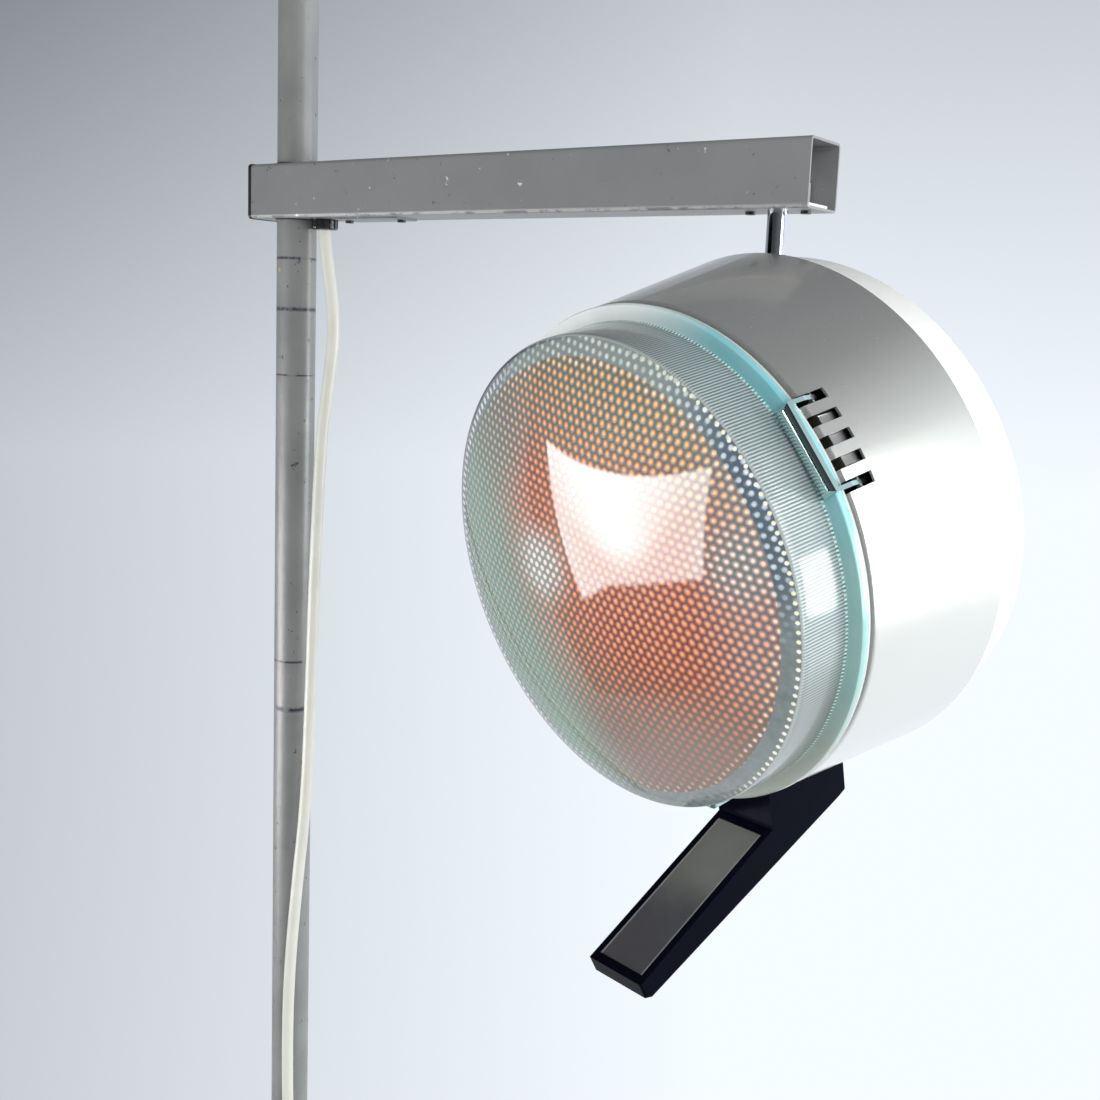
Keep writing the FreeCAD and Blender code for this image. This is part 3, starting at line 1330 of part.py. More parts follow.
# Screws that hold the handle from inside the drum.
handle_screws = []
for depth in handle_screw_places:
    seat = drum_inside(depth - s.handle_screw_head / 2) - s.slide_gap
    place = moved(-depth, 0, -seat, about(X_AXIS, HALF_TURN))
    handle_screws.append(screw("handle_screw", s.handle_screw_head, s.handle_screw_head_height,
                               s.handle_screw_shank, s.handle_screw_length, place))
keep("handle_screws", group("handle_screws", handle_screws), head_place)

# Mains cord: hangs from the gland beside the pole, crosses the foot and runs along the floor to its coil.
cord_upper = [
    (29, 0, 1346), (38.2, 4.2, 1284), (34.2, 1.8, 1242), (30.0, -1.6, 1196), (28.8, -2.8, 1150),
]
cord_lower = [
    (28.8, -2.8, 1150), (27.287, -4.313, 1092), (25.8, -5.6, 1000), (24.4, -8.0, 905), (19.6, -13.2, 830),
    (15.6, -17.2, 752), (15.0, -17.6, 668), (18.0, -16.4, 582), (22.6, -14.0, 495), (27.0, -11.0, 408),
    (31.6, -8.0, 322), (38.0, -5.6, 240), (47.0, -4.0, 172), (61.0, -3.0, 120), (84.0, -2.2, 80),
    (116.0, -1.2, 57.5), (154.0, -0.2, 45.5), (193.0, 0.8, 38.5), (228.0, 1.8, 27.5), (254.0, 2.6, 13.4),
]
coil_low = s.cord_diameter / 2 + s.coil_lift
coil_in_y = s.coil_centre_y - s.coil_outer_radius
bend_run_share = 0.45


def rounded_route(points):
    """Straight runs joined by tangent arcs, each arc as large as its two runs allow."""
    edges = []
    radii = []
    start = points[0]
    for index in range(1, len(points) - 1):
        corner = points[index]
        back = points[index - 1] - corner
        ahead = points[index + 1] - corner
        turn = math.pi - back.getAngle(ahead)
        trim = bend_run_share * min(back.Length, ahead.Length)
        radius = trim / math.tan(turn / 2)
        radii.append(radius)
        back.normalize()
        ahead.normalize()
        inward = (back + ahead).normalize()
        centre = corner + inward * (radius / math.cos(turn / 2))
        enter = corner + back * trim
        leave = corner + ahead * trim
        edges.append(Part.LineSegment(start, enter).toShape())
        edges.append(Part.Arc(enter, centre - inward * radius, leave).toShape())
        start = leave
    edges.append(Part.LineSegment(start, points[-1]).toShape())
    return Part.Wire(edges), radii


def cord_tube(label, wire, start, heading):
    ring = Part.Wire([Part.makeCircle(s.cord_diameter.number / 2, start, heading)])
    tube = doc.addObject("Part::Feature", label)
    tube.Shape = wire.makePipeShell([ring], True, False)
    expected = math.pi * (s.cord_diameter.number / 2) ** 2 * wire.Length
    shares = (label, wire.Length, tube.Shape.Volume / expected)
    print("%s: length %.0f, volume over section times length %.4f" % shares)
    return keep(label, tube)


gland_end = vector(s.gland_offset, 0, s.arm_bottom - s.gland_drop + s.gland_bore_depth)
upper_points = [gland_end] + [FreeCAD.Vector(*point) for point in cord_upper]
coil_start = vector(s.coil_centre_x, coil_in_y, coil_low)
touchdown = vector(s.coil_centre_x - s.coil_lead_in, coil_in_y, coil_low)
lower_points = [FreeCAD.Vector(*point) for point in cord_lower] + [touchdown, coil_start]
for label, points in (("cord_top", upper_points), ("cord_drop", lower_points)):
    route, radii = rounded_route(points)
    cord_tube(label, route, points[0], points[1] - points[0])
    print("%s: least bend radius %.0f" % (label, min(radii)))

# Coil: the cord's spare length in two layers, winding in below and out above, with its tie and plug.
half_turns = s.coil_turns.number / 2


def coil_place(turn):
    """Centre of the cord after so many turns."""
    inward = turn if turn < half_turns else s.coil_turns.number - turn
    radius = s.coil_outer_radius.number - s.coil_pitch.number * inward
    climb = min(max((turn - half_turns) * 2 + 0.5, 0), 1)
    angle = turn * FULL_TURN - QUARTER_TURN
    spoke = about(Z_AXIS, angle).multVec(X_AXIS) * radius
    height = coil_low.number + s.coil_rise.number * climb * climb * (3 - 2 * climb)
    return vector(s.coil_centre_x, s.coil_centre_y, 0) + spoke + FreeCAD.Vector(0, 0, height)


straight_share = 1e-6


def arc_from(start, heading, stop):
    """The arc that leaves start along heading and reaches stop."""
    chord = stop - start
    across = chord - heading * chord.dot(heading)
    if across.Length < chord.Length * straight_share:
        return Part.LineSegment(start, stop).toShape(), heading
    across.normalize()
    radius = chord.dot(chord) / (2 * chord.dot(across))
    centre = start + across * radius
    middle = centre + ((start - centre) + (stop - centre)).normalize() * abs(radius)
    leave = heading * -1 + chord * (2 * chord.dot(heading) / chord.dot(chord))
    return Part.Arc(start, middle, stop).toShape(), leave.normalize()


def coil_heading(turn, step):
    ahead = coil_place(min(turn + step, s.coil_turns.number))
    return (ahead - coil_place(max(turn - step, 0))).normalize()


quarter_count = int(s.coil_turns.number * 4)
quarter = s.coil_turns.number / quarter_count
stations = [coil_place(index * quarter) for index in range(quarter_count + 1)]
headings = [coil_heading(index * quarter, quarter / QUARTER_TURN) for index in range(quarter_count + 1)]
headings[0] = X_AXIS
headings[-1] = X_AXIS * -1
coil_edges = []
for index in range(quarter_count):
    start, stop = stations[index], stations[index + 1]
    out, come = headings[index], headings[index + 1]
    chord = stop - start
    both = out + come
    spread = 2 * (1 - out.dot(come))
    reach = (math.sqrt(chord.dot(both) ** 2 + spread * chord.dot(chord)) - chord.dot(both)) / spread
    joint = (start + stop + (out - come) * reach) * 0.5
    first, heading = arc_from(start, out, joint)
    second, heading = arc_from(joint, heading, stop)
    coil_edges += [first, second]
coil_end = stations[-1] + headings[-1] * s.coil_tail.number
coil_edges.append(Part.LineSegment(stations[-1], coil_end).toShape())
coil_wire = Part.Wire(coil_edges)
cord_tube("cord_coil", coil_wire, stations[0], headings[0])
samples = coil_wire.discretize(Number=quarter_count * 20)
spacing = coil_wire.Length / len(samples)
skip = int(s.cord_diameter.number * 2 / spacing) + 1
least = min((a - b).Length for index, a in enumerate(samples) for b in samples[index + skip:])
print("cord_coil: least gap to itself %.2f" % (least - s.cord_diameter.number))

tie = new_body("cord_tie")
coil_inner_radius = s.coil_outer_radius - s.coil_pitch * s.coil_turns / 2
tie_reach = s.cord_diameter / 2 + s.tie_clearance
tie_low = coil_low - s.cord_diameter / 2 - s.tie_clearance
tie_high = coil_low + s.coil_rise + s.cord_diameter / 2 + s.tie_clearance
tie_sketch = sketch_on(tie, "XZ")
tie_near = coil_inner_radius - tie_reach
tie_far = s.coil_outer_radius + tie_reach
draw(tie_sketch, rectangle(tie_near, tie_far, tie_low, tie_high, s.tie_round - s.tie_wall))
draw(tie_sketch, rectangle(tie_near - s.tie_wall, tie_far + s.tie_wall, tie_low - s.tie_wall,
                           tie_high + s.tie_wall, s.tie_round))
pad(tie, tie_sketch, s.tie_width, symmetric=True)
keep("cord_tie", tie, moved(s.coil_centre_x, s.coil_centre_y, 0))

# Plug: a round mains plug with a tapered relief, lying beside the coil, and its two pins.
plug_radius = s.plug_diameter / 2
relief_share = 0.8
plug_place = FreeCAD.Placement(coil_end, about(Z_AXIS, HALF_TURN))
turned_body("cord_plug", [
    (0, 0),
    (0, s.plug_relief_radius),
    (s.plug_relief, plug_radius * relief_share, s.plug_round),
    (s.plug_relief + s.plug_round, plug_radius, s.plug_round / 2),
    (s.plug_relief + s.plug_length, plug_radius, s.plug_round / 2),
    (s.plug_relief + s.plug_length, 0),
], axis="H_Axis", place=plug_place)
plug_pins = []
for sign in (1, -1):
    seat = moved(s.plug_relief + s.plug_length, s.plug_pin_pitch * (sign / 2), 0, forward)
    plug_pins.append(cylinder("plug_pin", s.plug_pin_diameter, s.plug_pin_length, seat))
keep("plug_pins", group("plug_pins", plug_pins), plug_place)

doc.recompute()
faults = [thing.Name for thing in doc.Objects if "Invalid" in thing.State or "Error" in thing.State]
for label, thing in nodes.items():
    if thing.Shape.isNull() or not thing.Shape.isValid():
        faults.append(label)
if faults:
    raise ValueError("failed: " + ", ".join(faults))
os.makedirs("parts", exist_ok=True)
for label, thing in nodes.items():
    thing.Shape.exportStep("parts/%s.step" % label)
print("%d sub-parts written" % len(nodes))
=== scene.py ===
import math

import bpy
from mathutils import Euler, Matrix, Vector


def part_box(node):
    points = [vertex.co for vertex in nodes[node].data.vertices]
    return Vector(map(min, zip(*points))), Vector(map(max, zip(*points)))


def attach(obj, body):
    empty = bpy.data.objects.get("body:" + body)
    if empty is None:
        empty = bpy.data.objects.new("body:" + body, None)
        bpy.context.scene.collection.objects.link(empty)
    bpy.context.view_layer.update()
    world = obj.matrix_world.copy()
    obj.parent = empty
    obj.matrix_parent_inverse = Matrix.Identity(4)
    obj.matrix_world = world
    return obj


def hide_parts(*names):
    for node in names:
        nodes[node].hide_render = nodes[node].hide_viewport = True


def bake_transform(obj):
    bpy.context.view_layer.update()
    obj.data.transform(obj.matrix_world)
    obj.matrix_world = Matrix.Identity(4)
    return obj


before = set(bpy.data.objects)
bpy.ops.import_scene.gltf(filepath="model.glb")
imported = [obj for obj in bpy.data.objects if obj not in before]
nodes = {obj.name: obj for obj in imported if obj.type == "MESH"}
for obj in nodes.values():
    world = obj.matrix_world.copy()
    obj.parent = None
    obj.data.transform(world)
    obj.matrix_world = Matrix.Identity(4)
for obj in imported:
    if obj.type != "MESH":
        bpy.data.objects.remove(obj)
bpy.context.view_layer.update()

# Camera: stands before the lamp at head height and looks a little down, as the photograph was taken.
# Its place, turn and focal length were fitted to the straight edges and circles in the photograph.
camera_place = Vector((0.7654, -0.7410, 1.2866))
camera_heading = math.radians(124.955)
camera_dip = math.radians(9.410)
camera_roll = math.radians(2.308)
camera_data = bpy.data.cameras.new("camera")
camera_data.sensor_width = 36.0
camera_data.lens = 43.80
camera = bpy.data.objects.new("camera", camera_data)
bpy.context.scene.collection.objects.link(camera)
level = Euler((math.pi / 2 - camera_dip, 0.0, camera_heading - math.pi / 2)).to_matrix()
camera.matrix_world = (Matrix.Translation(camera_place)
                       @ (level @ Matrix.Rotation(camera_roll, 3, "Z")).to_4x4())
bpy.context.scene.camera = camera
bpy.context.scene.view_settings.view_transform = "Standard"


# Surroundings: a pale studio, darker overhead and to the left, that the camera, metal and glass see.
# Everything else is lit by an even sky and four softboxes, of which the two on the right show in the gloss.
def add_node(tree, kind, values=None, **settings):
    """A shader node with its settings and the values of its sockets."""
    made = tree.nodes.new("ShaderNode" + kind)
    for name, value in settings.items():
        setattr(made, name, value)
    for name, value in (values or {}).items():
        made.inputs[name].default_value = value
    return made


def join(tree, *pairs):
    """Links each output socket to its input socket."""
    for source, target in pairs:
        tree.links.new(source, target)


def ranged(tree, value, start, end, low=0.0, high=1.0, smooth=False):
    """A value carried from one span to another and held at its ends."""
    made = add_node(tree, "MapRange", {"From Min": start, "From Max": end, "To Min": low, "To Max": high})
    made.interpolation_type = "SMOOTHSTEP" if smooth else "LINEAR"
    tree.links.new(value, made.inputs["Value"])
    return made.outputs[0]


def counted(tree, operation, first, second=None):
    """A sum on one or two values, each a number or a socket."""
    made = add_node(tree, "Math", operation=operation)
    for socket, value in zip(made.inputs, (first, second)):
        if isinstance(value, (int, float)):
            socket.default_value = value
        elif value is not None:
            tree.links.new(value, socket)
    return made.outputs[0]


def product(tree, *values):
    """Several values multiplied together."""
    whole = values[0]
    for value in values[1:]:
        whole = counted(tree, "MULTIPLY", whole, value)
    return whole


def mixed(tree, mask, first, second):
    """A colour between two others, each a colour or a socket, by a mask."""
    made = add_node(tree, "Mix", data_type="RGBA")
    tree.links.new(mask, made.inputs[0])
    for socket, colour in ((made.inputs[6], first), (made.inputs[7], second)):
        if isinstance(colour, tuple):
            socket.default_value = colour + (1.0,)
        else:
            tree.links.new(colour, socket)
    return made.outputs[2]


def facing(tree, direction, axis):
    """How far a direction points along an axis."""
    made = add_node(tree, "VectorMath", {1: axis}, operation="DOT_PRODUCT")
    tree.links.new(direction, made.inputs[0])
    return made.outputs["Value"]


studio_dark = (0.10, 0.105, 0.125)
studio_pale = (0.925, 0.985, 1.05)
sky_tone = (0.97, 0.99, 1.0, 1.0)
sky_light = 0.52
lit_heading = math.radians(105.0)
lit_side = (math.cos(lit_heading), math.sin(lit_heading), 0.0)
camera_right = (math.sin(camera_heading), -math.cos(camera_heading), 0.0)
world = bpy.data.worlds.new("studio")
bpy.context.scene.world = world
world.use_nodes = True
sky = world.node_tree
sky.nodes.clear()
direction = add_node(sky, "TexCoord").outputs["Generated"]
rays = add_node(sky, "LightPath").outputs
to_right = facing(sky, direction, camera_right)
brightness = counted(sky, "ADD", ranged(sky, to_right, -0.45, 0.12, 0.50, 1.0),
                     ranged(sky, to_right, 0.40, 0.90, 0.0, 0.85))
overhead = ranged(sky, facing(sky, direction, (0.0, 0.0, 1.0)), -0.10, 0.80, 0.0, 1.15)
backdrop = mixed(sky, counted(sky, "SUBTRACT", brightness, overhead), studio_dark, studio_pale)
dimmed = ranged(sky, facing(sky, direction, lit_side), -0.45, 0.45, 0.84, 0.0)
mirrored_light = counted(sky, "SUBTRACT", 1.0, product(sky, dimmed, rays["Is Glossy Ray"]))
shown = counted(sky, "MAXIMUM", rays["Is Camera Ray"], rays["Is Glossy Ray"])
shown = counted(sky, "MAXIMUM", shown, rays["Is Transmission Ray"])
even_sky = add_node(sky, "Background", {"Color": sky_tone, "Strength": sky_light})
shown_sky = add_node(sky, "Background")
both = add_node(sky, "MixShader")
sky_out = add_node(sky, "OutputWorld")
join(sky, (backdrop, shown_sky.inputs["Color"]), (mirrored_light, shown_sky.inputs["Strength"]),
     (shown, both.inputs[0]), (even_sky.outputs[0], both.inputs[1]), (shown_sky.outputs[0], both.inputs[2]),
     (both.outputs[0], sky_out.inputs["Surface"]))

# The head's place and turn at rest: its front rim's centre, and the way that its axis points.
head_origin = Vector((0.37078, -0.11651, 1.14950))
head_turn = Euler((0.0, math.radians(13.0), math.radians(-105.0)))


def softbox(name, centre, target, width, height, power):
    """A rectangular lamp that faces a target."""
    lamp = bpy.data.lights.new(name, "AREA")
    lamp.shape = "RECTANGLE"
    lamp.size = width
    lamp.size_y = height
    lamp.energy = power
    holder = bpy.data.objects.new(name, lamp)
    bpy.context.scene.collection.objects.link(holder)
    aim = (target - centre).to_track_quat("-Z", "Y").to_matrix().to_4x4()
    holder.matrix_world = Matrix.Translation(centre) @ aim
    holder.visible_camera = False
    return holder


low_left_place = Vector((-0.768, -1.130, 0.668))
low_left = softbox("low_left_softbox", low_left_place, head_origin, 1.25, 0.52, 12.0)
low_left.visible_glossy = False
softbox("right_softbox", Vector((1.52, 0.76, 1.14)), head_origin, 0.80, 0.50, 13.0)
softbox("front_right_softbox", Vector((1.55, 0.02, 1.30)), Vector((0.2, 0.0, 1.30)), 0.45, 1.10, 7.0)
fill = softbox("fill_softbox", Vector((1.45, -1.00, 1.55)), head_origin, 0.80, 0.80, 11.5)
fill.visible_glossy = False

# Window: the face of the low softbox as the glass mirrors it, with a bright core, bowed top and soft edges.
# It gives no light of its own to anything but mirror-like surfaces.
window_size = 1.8
top_edge, foot_edge = (0.245, 0.265), (-0.295, -0.265)
left_edge, right_edge = (-0.622, -0.602), (0.478, 0.500)
left_slant, right_slant = 0.174, -0.32
bow_centre, bow_share = 0.08, 0.23
dip_start, dip_share = -0.28, 0.30
fan_centre, fan_half_width, fan_spread, fan_least = -0.10, 0.27, 0.80, 0.03
veil_light, core_light = 5.8, 11.0
bpy.ops.object.select_all(action="DESELECT")
bpy.ops.mesh.primitive_plane_add(size=window_size, location=(0.0, 0.0, 0.0))
window = bpy.context.active_object
window.name = "softbox_face"
window.matrix_world = low_left.matrix_world
window_material = bpy.data.materials.new("softbox_face")
window_material.use_nodes = True
tree = window_material.node_tree
tree.nodes.clear()
face_axes = add_node(tree, "SeparateXYZ")
join(tree, (add_node(tree, "TexCoord").outputs["Object"], face_axes.inputs[0]))
along, high = face_axes.outputs["X"], face_axes.outputs["Y"]
bow = product(tree, counted(tree, "POWER", counted(tree, "SUBTRACT", along, bow_centre), 2.0), bow_share)
dip = product(tree, counted(tree, "MINIMUM", counted(tree, "SUBTRACT", along, dip_start), 0.0), dip_share)
from_left = counted(tree, "ADD", along, product(tree, high, left_slant))
from_right = counted(tree, "ADD", along, product(tree, high, right_slant))
inside = product(tree, ranged(tree, counted(tree, "SUBTRACT", high, bow), *top_edge, 1.0, 0.0),
                 ranged(tree, counted(tree, "SUBTRACT", high, dip), *foot_edge),
                 ranged(tree, from_left, *left_edge), ranged(tree, from_right, *right_edge, 1.0, 0.0))
fan_width = counted(tree, "ADD", product(tree, high, fan_spread), fan_half_width)
off_core = counted(tree, "DIVIDE", counted(tree, "ABSOLUTE", counted(tree, "SUBTRACT", along, fan_centre)),
                   counted(tree, "MAXIMUM", fan_width, fan_least))
core = product(tree, ranged(tree, off_core, 0.20, 1.60, 1.0, 0.0, smooth=True),
               ranged(tree, high, -0.25, -0.05, smooth=True))
glow = add_node(tree, "Emission", {"Color": (1.0, 0.950, 0.970, 1.0)})
out = add_node(tree, "OutputMaterial")
light = product(tree, inside, ranged(tree, core, 0.0, 1.0, veil_light, core_light))
join(tree, (light, glow.inputs["Strength"]), (glow.outputs[0], out.inputs["Surface"]))
window.data.materials.append(window_material)
for view in ("camera", "diffuse", "transmission", "shadow", "volume_scatter"):
    setattr(window, "visible_" + view, False)

# Floor: a plain pale sheet that fades out into the studio, so that no edge shows from any side.
# It takes the lamp's shadow round the foot.
floor_size = 3.0
floor_drop = 0.0005
fade_start, fade_end = 0.45, 0.92
bpy.ops.object.select_all(action="DESELECT")
bpy.ops.mesh.primitive_plane_add(size=floor_size, location=(0.0, 0.0, -floor_drop))
floor = bpy.context.active_object
floor.name = "floor"
bpy.ops.object.transform_apply(location=True, rotation=False, scale=False)
floor_material = bpy.data.materials.new("pale_floor")
floor_material.use_nodes = True
tree = floor_material.node_tree
tree.nodes.clear()
reach = add_node(tree, "VectorMath", operation="LENGTH")
join(tree, (add_node(tree, "TexCoord").outputs["Object"], reach.inputs[0]))
fade = ranged(tree, reach.outputs["Value"], fade_start, fade_end, smooth=True)
sheet = add_node(tree, "BsdfDiffuse", {"Color": (0.84, 0.86, 0.88, 1.0)})
clear = add_node(tree, "BsdfTransparent")
mix = add_node(tree, "MixShader")
out = add_node(tree, "OutputMaterial")
join(tree, (fade, mix.inputs[0]), (sheet.outputs[0], mix.inputs[1]), (clear.outputs[0], mix.inputs[2]),
     (mix.outputs[0], out.inputs["Surface"]))
floor.data.materials.append(floor_material)


# Foot: a heavy iron casting with a hollow underside, sprayed in grey hammered enamel.
# Rubber pads under its rim keep it from marking the floor.
def new_group(name, takes, gives):
    """An empty shader group with its named sockets, and its two end nodes."""
    group = bpy.data.node_groups.new(name, "ShaderNodeTree")
    for label, kind, value in takes:
        socket = group.interface.new_socket(label, in_out="INPUT", socket_type="NodeSocket" + kind)
        if value is not None:
            socket.default_value = value
    for label, kind in gives:
        group.interface.new_socket(label, in_out="OUTPUT", socket_type="NodeSocket" + kind)
    return group, group.nodes.new("NodeGroupInput"), group.nodes.new("NodeGroupOutput")


# Grain: soft uneven patches of any size, for colour, gloss and texture.
grain, ends_in, ends_out = new_group(
    "grain", [("Vector", "Vector", None), ("Scale", "Float", 60.0), ("Contrast", "Float", 0.3)],
    [("Mask", "Float")])
noise = add_node(grain, "TexNoise", {"Detail": 6.0, "Roughness": 0.6})
low_end = add_node(grain, "Math", {0: 0.5}, operation="SUBTRACT")
high_end = add_node(grain, "Math", {0: 0.5}, operation="ADD")
spread = add_node(grain, "MapRange")
join(grain, (ends_in.outputs["Vector"], noise.inputs["Vector"]),
     (ends_in.outputs["Scale"], noise.inputs["Scale"]),
     (ends_in.outputs["Contrast"], low_end.inputs[1]), (ends_in.outputs["Contrast"], high_end.inputs[1]),
     (noise.outputs["Fac"], spread.inputs["Value"]), (low_end.outputs[0], spread.inputs["From Min"]),
     (high_end.outputs[0], spread.inputs["From Max"]), (spread.outputs[0], ends_out.inputs["Mask"]))

# Chips: small scattered specks where a finish has been knocked off.
chips, ends_in, ends_out = new_group(
    "chips", [("Vector", "Vector", None), ("Scale", "Float", 90.0), ("Share", "Float", 0.3)],
    [("Mask", "Float")])
noise = add_node(chips, "TexNoise", {"Detail": 3.0, "Roughness": 0.7})
edge = add_node(chips, "Math", {0: 1.0}, operation="SUBTRACT")
edge_end = add_node(chips, "Math", {1: 0.03}, operation="ADD")
speck = add_node(chips, "MapRange")
join(chips, (ends_in.outputs["Vector"], noise.inputs["Vector"]),
     (ends_in.outputs["Scale"], noise.inputs["Scale"]), (ends_in.outputs["Share"], edge.inputs[1]),
     (edge.outputs[0], edge_end.inputs[0]), (noise.outputs["Fac"], speck.inputs["Value"]),
     (edge.outputs[0], speck.inputs["From Min"]), (edge_end.outputs[0], speck.inputs["From Max"]),
     (speck.outputs[0], ends_out.inputs["Mask"]))


def use_group(tree, group, vector, **values):
    """A group placed in a material, fed with a vector and its own values: the mask that it gives."""
    made = tree.nodes.new("ShaderNodeGroup")
    made.node_tree = group
    for label, value in values.items():
        made.inputs[label].default_value = value
    tree.links.new(vector, made.inputs["Vector"])
    return made.outputs["Mask"]


def raised(tree, height, distance, strength=1.0):
    """A bump made from a height between 0 and 1."""
    made = add_node(tree, "Bump", {"Strength": strength, "Distance": distance})
    tree.links.new(height, made.inputs["Height"])
    return made.outputs["Normal"]


def new_finish(name, **settings):
    """A material with one Principled shader, its tree and the object's own coordinates."""
    material = bpy.data.materials.new(name)
    material.use_nodes = True
    tree = material.node_tree
    shader = tree.nodes["Principled BSDF"]
    for label, value in settings.items():
        shader.inputs[label.replace("_", " ")].default_value = value
    return material, tree, shader, add_node(tree, "TexCoord").outputs["Object"]


def plain_finish(name, colour, patches, size, gloss, texture=0.0, **settings):
    """A finish with soft patches of a second colour, uneven gloss and a fine texture."""
    material, tree, shader, here = new_finish(name, **settings)
    cloud = use_group(tree, grain, here, Scale=size, Contrast=0.28)
    tooth = use_group(tree, grain, here, Scale=size * 14, Contrast=0.35)
    join(tree, (mixed(tree, cloud, colour, patches), shader.inputs["Base Color"]),
         (ranged(tree, tooth, 0.0, 1.0, *gloss), shader.inputs["Roughness"]))
    if texture:
        join(tree, (raised(tree, tooth, texture), shader.inputs["Normal"]))
    return material


def dress(material, *names):
    """Puts a material on CAD nodes."""
    for name in names:
        data = nodes[name].data
        data.materials.clear()
        data.materials.append(material)


dress(plain_finish("hammered_enamel", (0.30, 0.31, 0.32), (0.38, 0.39, 0.40), 110.0, (0.30, 0.48), 0.0006,
                   Coat_Weight=0.25), "base_casting")
dress(plain_finish("foot_rubber", (0.018, 0.018, 0.02), (0.035, 0.034, 0.033), 80.0, (0.65, 0.85), 0.0002),
      "base_feet")

# Pole: a drawn steel tube in silver-grey lacquer, marked in broken rings where the arm has been clamped and
# scuffed where it slides. A plastic plug closes its top, and set screws hold it in the foot.
ring_heights = (1.331, 1.293, 1.243, 1.017, 0.978)
ring_half_widths = (0.0009, 0.0013, 0.0006, 0.0008, 0.0017)
paint_speck = (-0.0029, -0.0132, 1.322)
material, tree, shader, here = new_finish("pole_lacquer", Metallic=0.22, Coat_Weight=0.25,
                                          Coat_Roughness=0.32)
axes = add_node(tree, "SeparateXYZ")
tree.links.new(here, axes.inputs[0])
haze = use_group(tree, grain, here, Scale=24.0, Contrast=0.22)
tooth = use_group(tree, grain, here, Scale=420.0, Contrast=0.3)
flecks = use_group(tree, chips, here, Scale=150.0, Share=0.335)
smudge = use_group(tree, grain, here, Scale=95.0, Contrast=0.14)
worn = None
for height, half in zip(ring_heights, ring_half_widths):
    away = counted(tree, "ABSOLUTE", counted(tree, "SUBTRACT", axes.outputs["Z"], height))
    band = ranged(tree, away, half * 0.4, half * 1.6, 1.0, 0.0)
    worn = band if worn is None else counted(tree, "MAXIMUM", worn, band)
worn = product(tree, worn, ranged(tree, smudge, 0.30, 0.60, 0.18, 1.0))
lacquer = mixed(tree, haze, (0.205, 0.210, 0.210), (0.275, 0.280, 0.277))
flecked = mixed(tree, flecks, lacquer, (0.075, 0.075, 0.080))
speck_gap = add_node(tree, "VectorMath", {1: paint_speck}, operation="DISTANCE")
join(tree, (here, speck_gap.inputs[0]))
speck = ranged(tree, speck_gap.outputs["Value"], 0.0012, 0.0026, 0.8, 0.0)
marked = mixed(tree, speck, mixed(tree, worn, flecked, (0.035, 0.036, 0.062)), (0.60, 0.62, 0.14))
join(tree, (marked, shader.inputs["Base Color"]),
     (ranged(tree, tooth, 0.0, 1.0, 0.34, 0.54), shader.inputs["Roughness"]),
     (raised(tree, tooth, 0.00018, 0.55), shader.inputs["Normal"]))
dress(material, "pole")
black_plastic = plain_finish("black_plastic", (0.012, 0.012, 0.015), (0.022, 0.022, 0.025), 60.0,
                             (0.28, 0.42), 0.00008)
dress(black_plastic, "pole_plug", "guide_sleeve", "arm_end_cap")
bare_steel = plain_finish("bare_steel", (0.42, 0.41, 0.40), (0.54, 0.53, 0.52), 45.0, (0.26, 0.42), 0.00006,
                          Metallic=1.0)
dress(bare_steel, "pole_set_screws", "pin_washer", "pin_nut", "tilt_knuckle", "tilt_bolt", "tilt_nut",
      "tilt_bracket", "chassis_ring", "socket_bridge", "cover_posts", "catch_brackets")

# Arm: a square steel tube in light grey stoving enamel, knocked at the edges and rubbed bright along
# its lower front edge. A plate under it closes the wiring hole, and a block in its open end carries the pin.
rubbed_heights = (1.3602, 1.3622)
rubbed_sides = (-0.0194, -0.0178)
material, tree, shader, here = new_finish("arm_enamel", Coat_Weight=0.15, Coat_Roughness=0.25)
axes = add_node(tree, "SeparateXYZ")
tree.links.new(here, axes.inputs[0])
cloud = use_group(tree, grain, here, Scale=18.0, Contrast=0.3)
tooth = use_group(tree, grain, here, Scale=700.0, Contrast=0.3)
enamel = mixed(tree, cloud, (0.178, 0.182, 0.186), (0.212, 0.216, 0.220))
knocks = use_group(tree, chips, here, Scale=120.0, Share=0.300)
specks = use_group(tree, chips, here, Scale=115.0, Share=0.325)
rubbed = use_group(tree, grain, here, Scale=75.0, Contrast=0.16)
edge_wear = product(tree, ranged(tree, axes.outputs["Z"], *rubbed_heights, 1.0, 0.0),
                    ranged(tree, axes.outputs["Y"], *rubbed_sides, 1.0, 0.0),
                    ranged(tree, rubbed, 0.25, 0.55))
lost = counted(tree, "MAXIMUM", knocks, edge_wear)
specked = mixed(tree, specks, enamel, (0.105, 0.105, 0.102))
join(tree, (mixed(tree, lost, specked, (0.72, 0.71, 0.69)), shader.inputs["Base Color"]),
     (ranged(tree, tooth, 0.0, 1.0, 0.36, 0.52), shader.inputs["Roughness"]),
     (ranged(tree, lost, 0.0, 1.0, 0.0, 0.35), shader.inputs["Metallic"]),
     (raised(tree, counted(tree, "SUBTRACT", tooth, lost), 0.00012, 0.5), shader.inputs["Normal"]))
dress(material, "arm_tube", "underside_plate")
dark_screw = plain_finish("blackened_steel", (0.05, 0.05, 0.052), (0.09, 0.088, 0.085), 70.0, (0.30, 0.50),
                          0.00006, Metallic=0.9)
dress(dark_screw, "plate_screws", "sleeve_screws", "handle_screws", "cover_screws")
dress(plain_finish("cast_aluminium", (0.56, 0.57, 0.55), (0.64, 0.65, 0.63), 40.0, (0.34, 0.50), 0.00008,
                   Metallic=0.35), "swivel_sleeve")
dress(plain_finish("terminal_plastic", (0.62, 0.60, 0.54), (0.70, 0.68, 0.62), 50.0, (0.35, 0.5), 0.0001),
      "terminal_block")

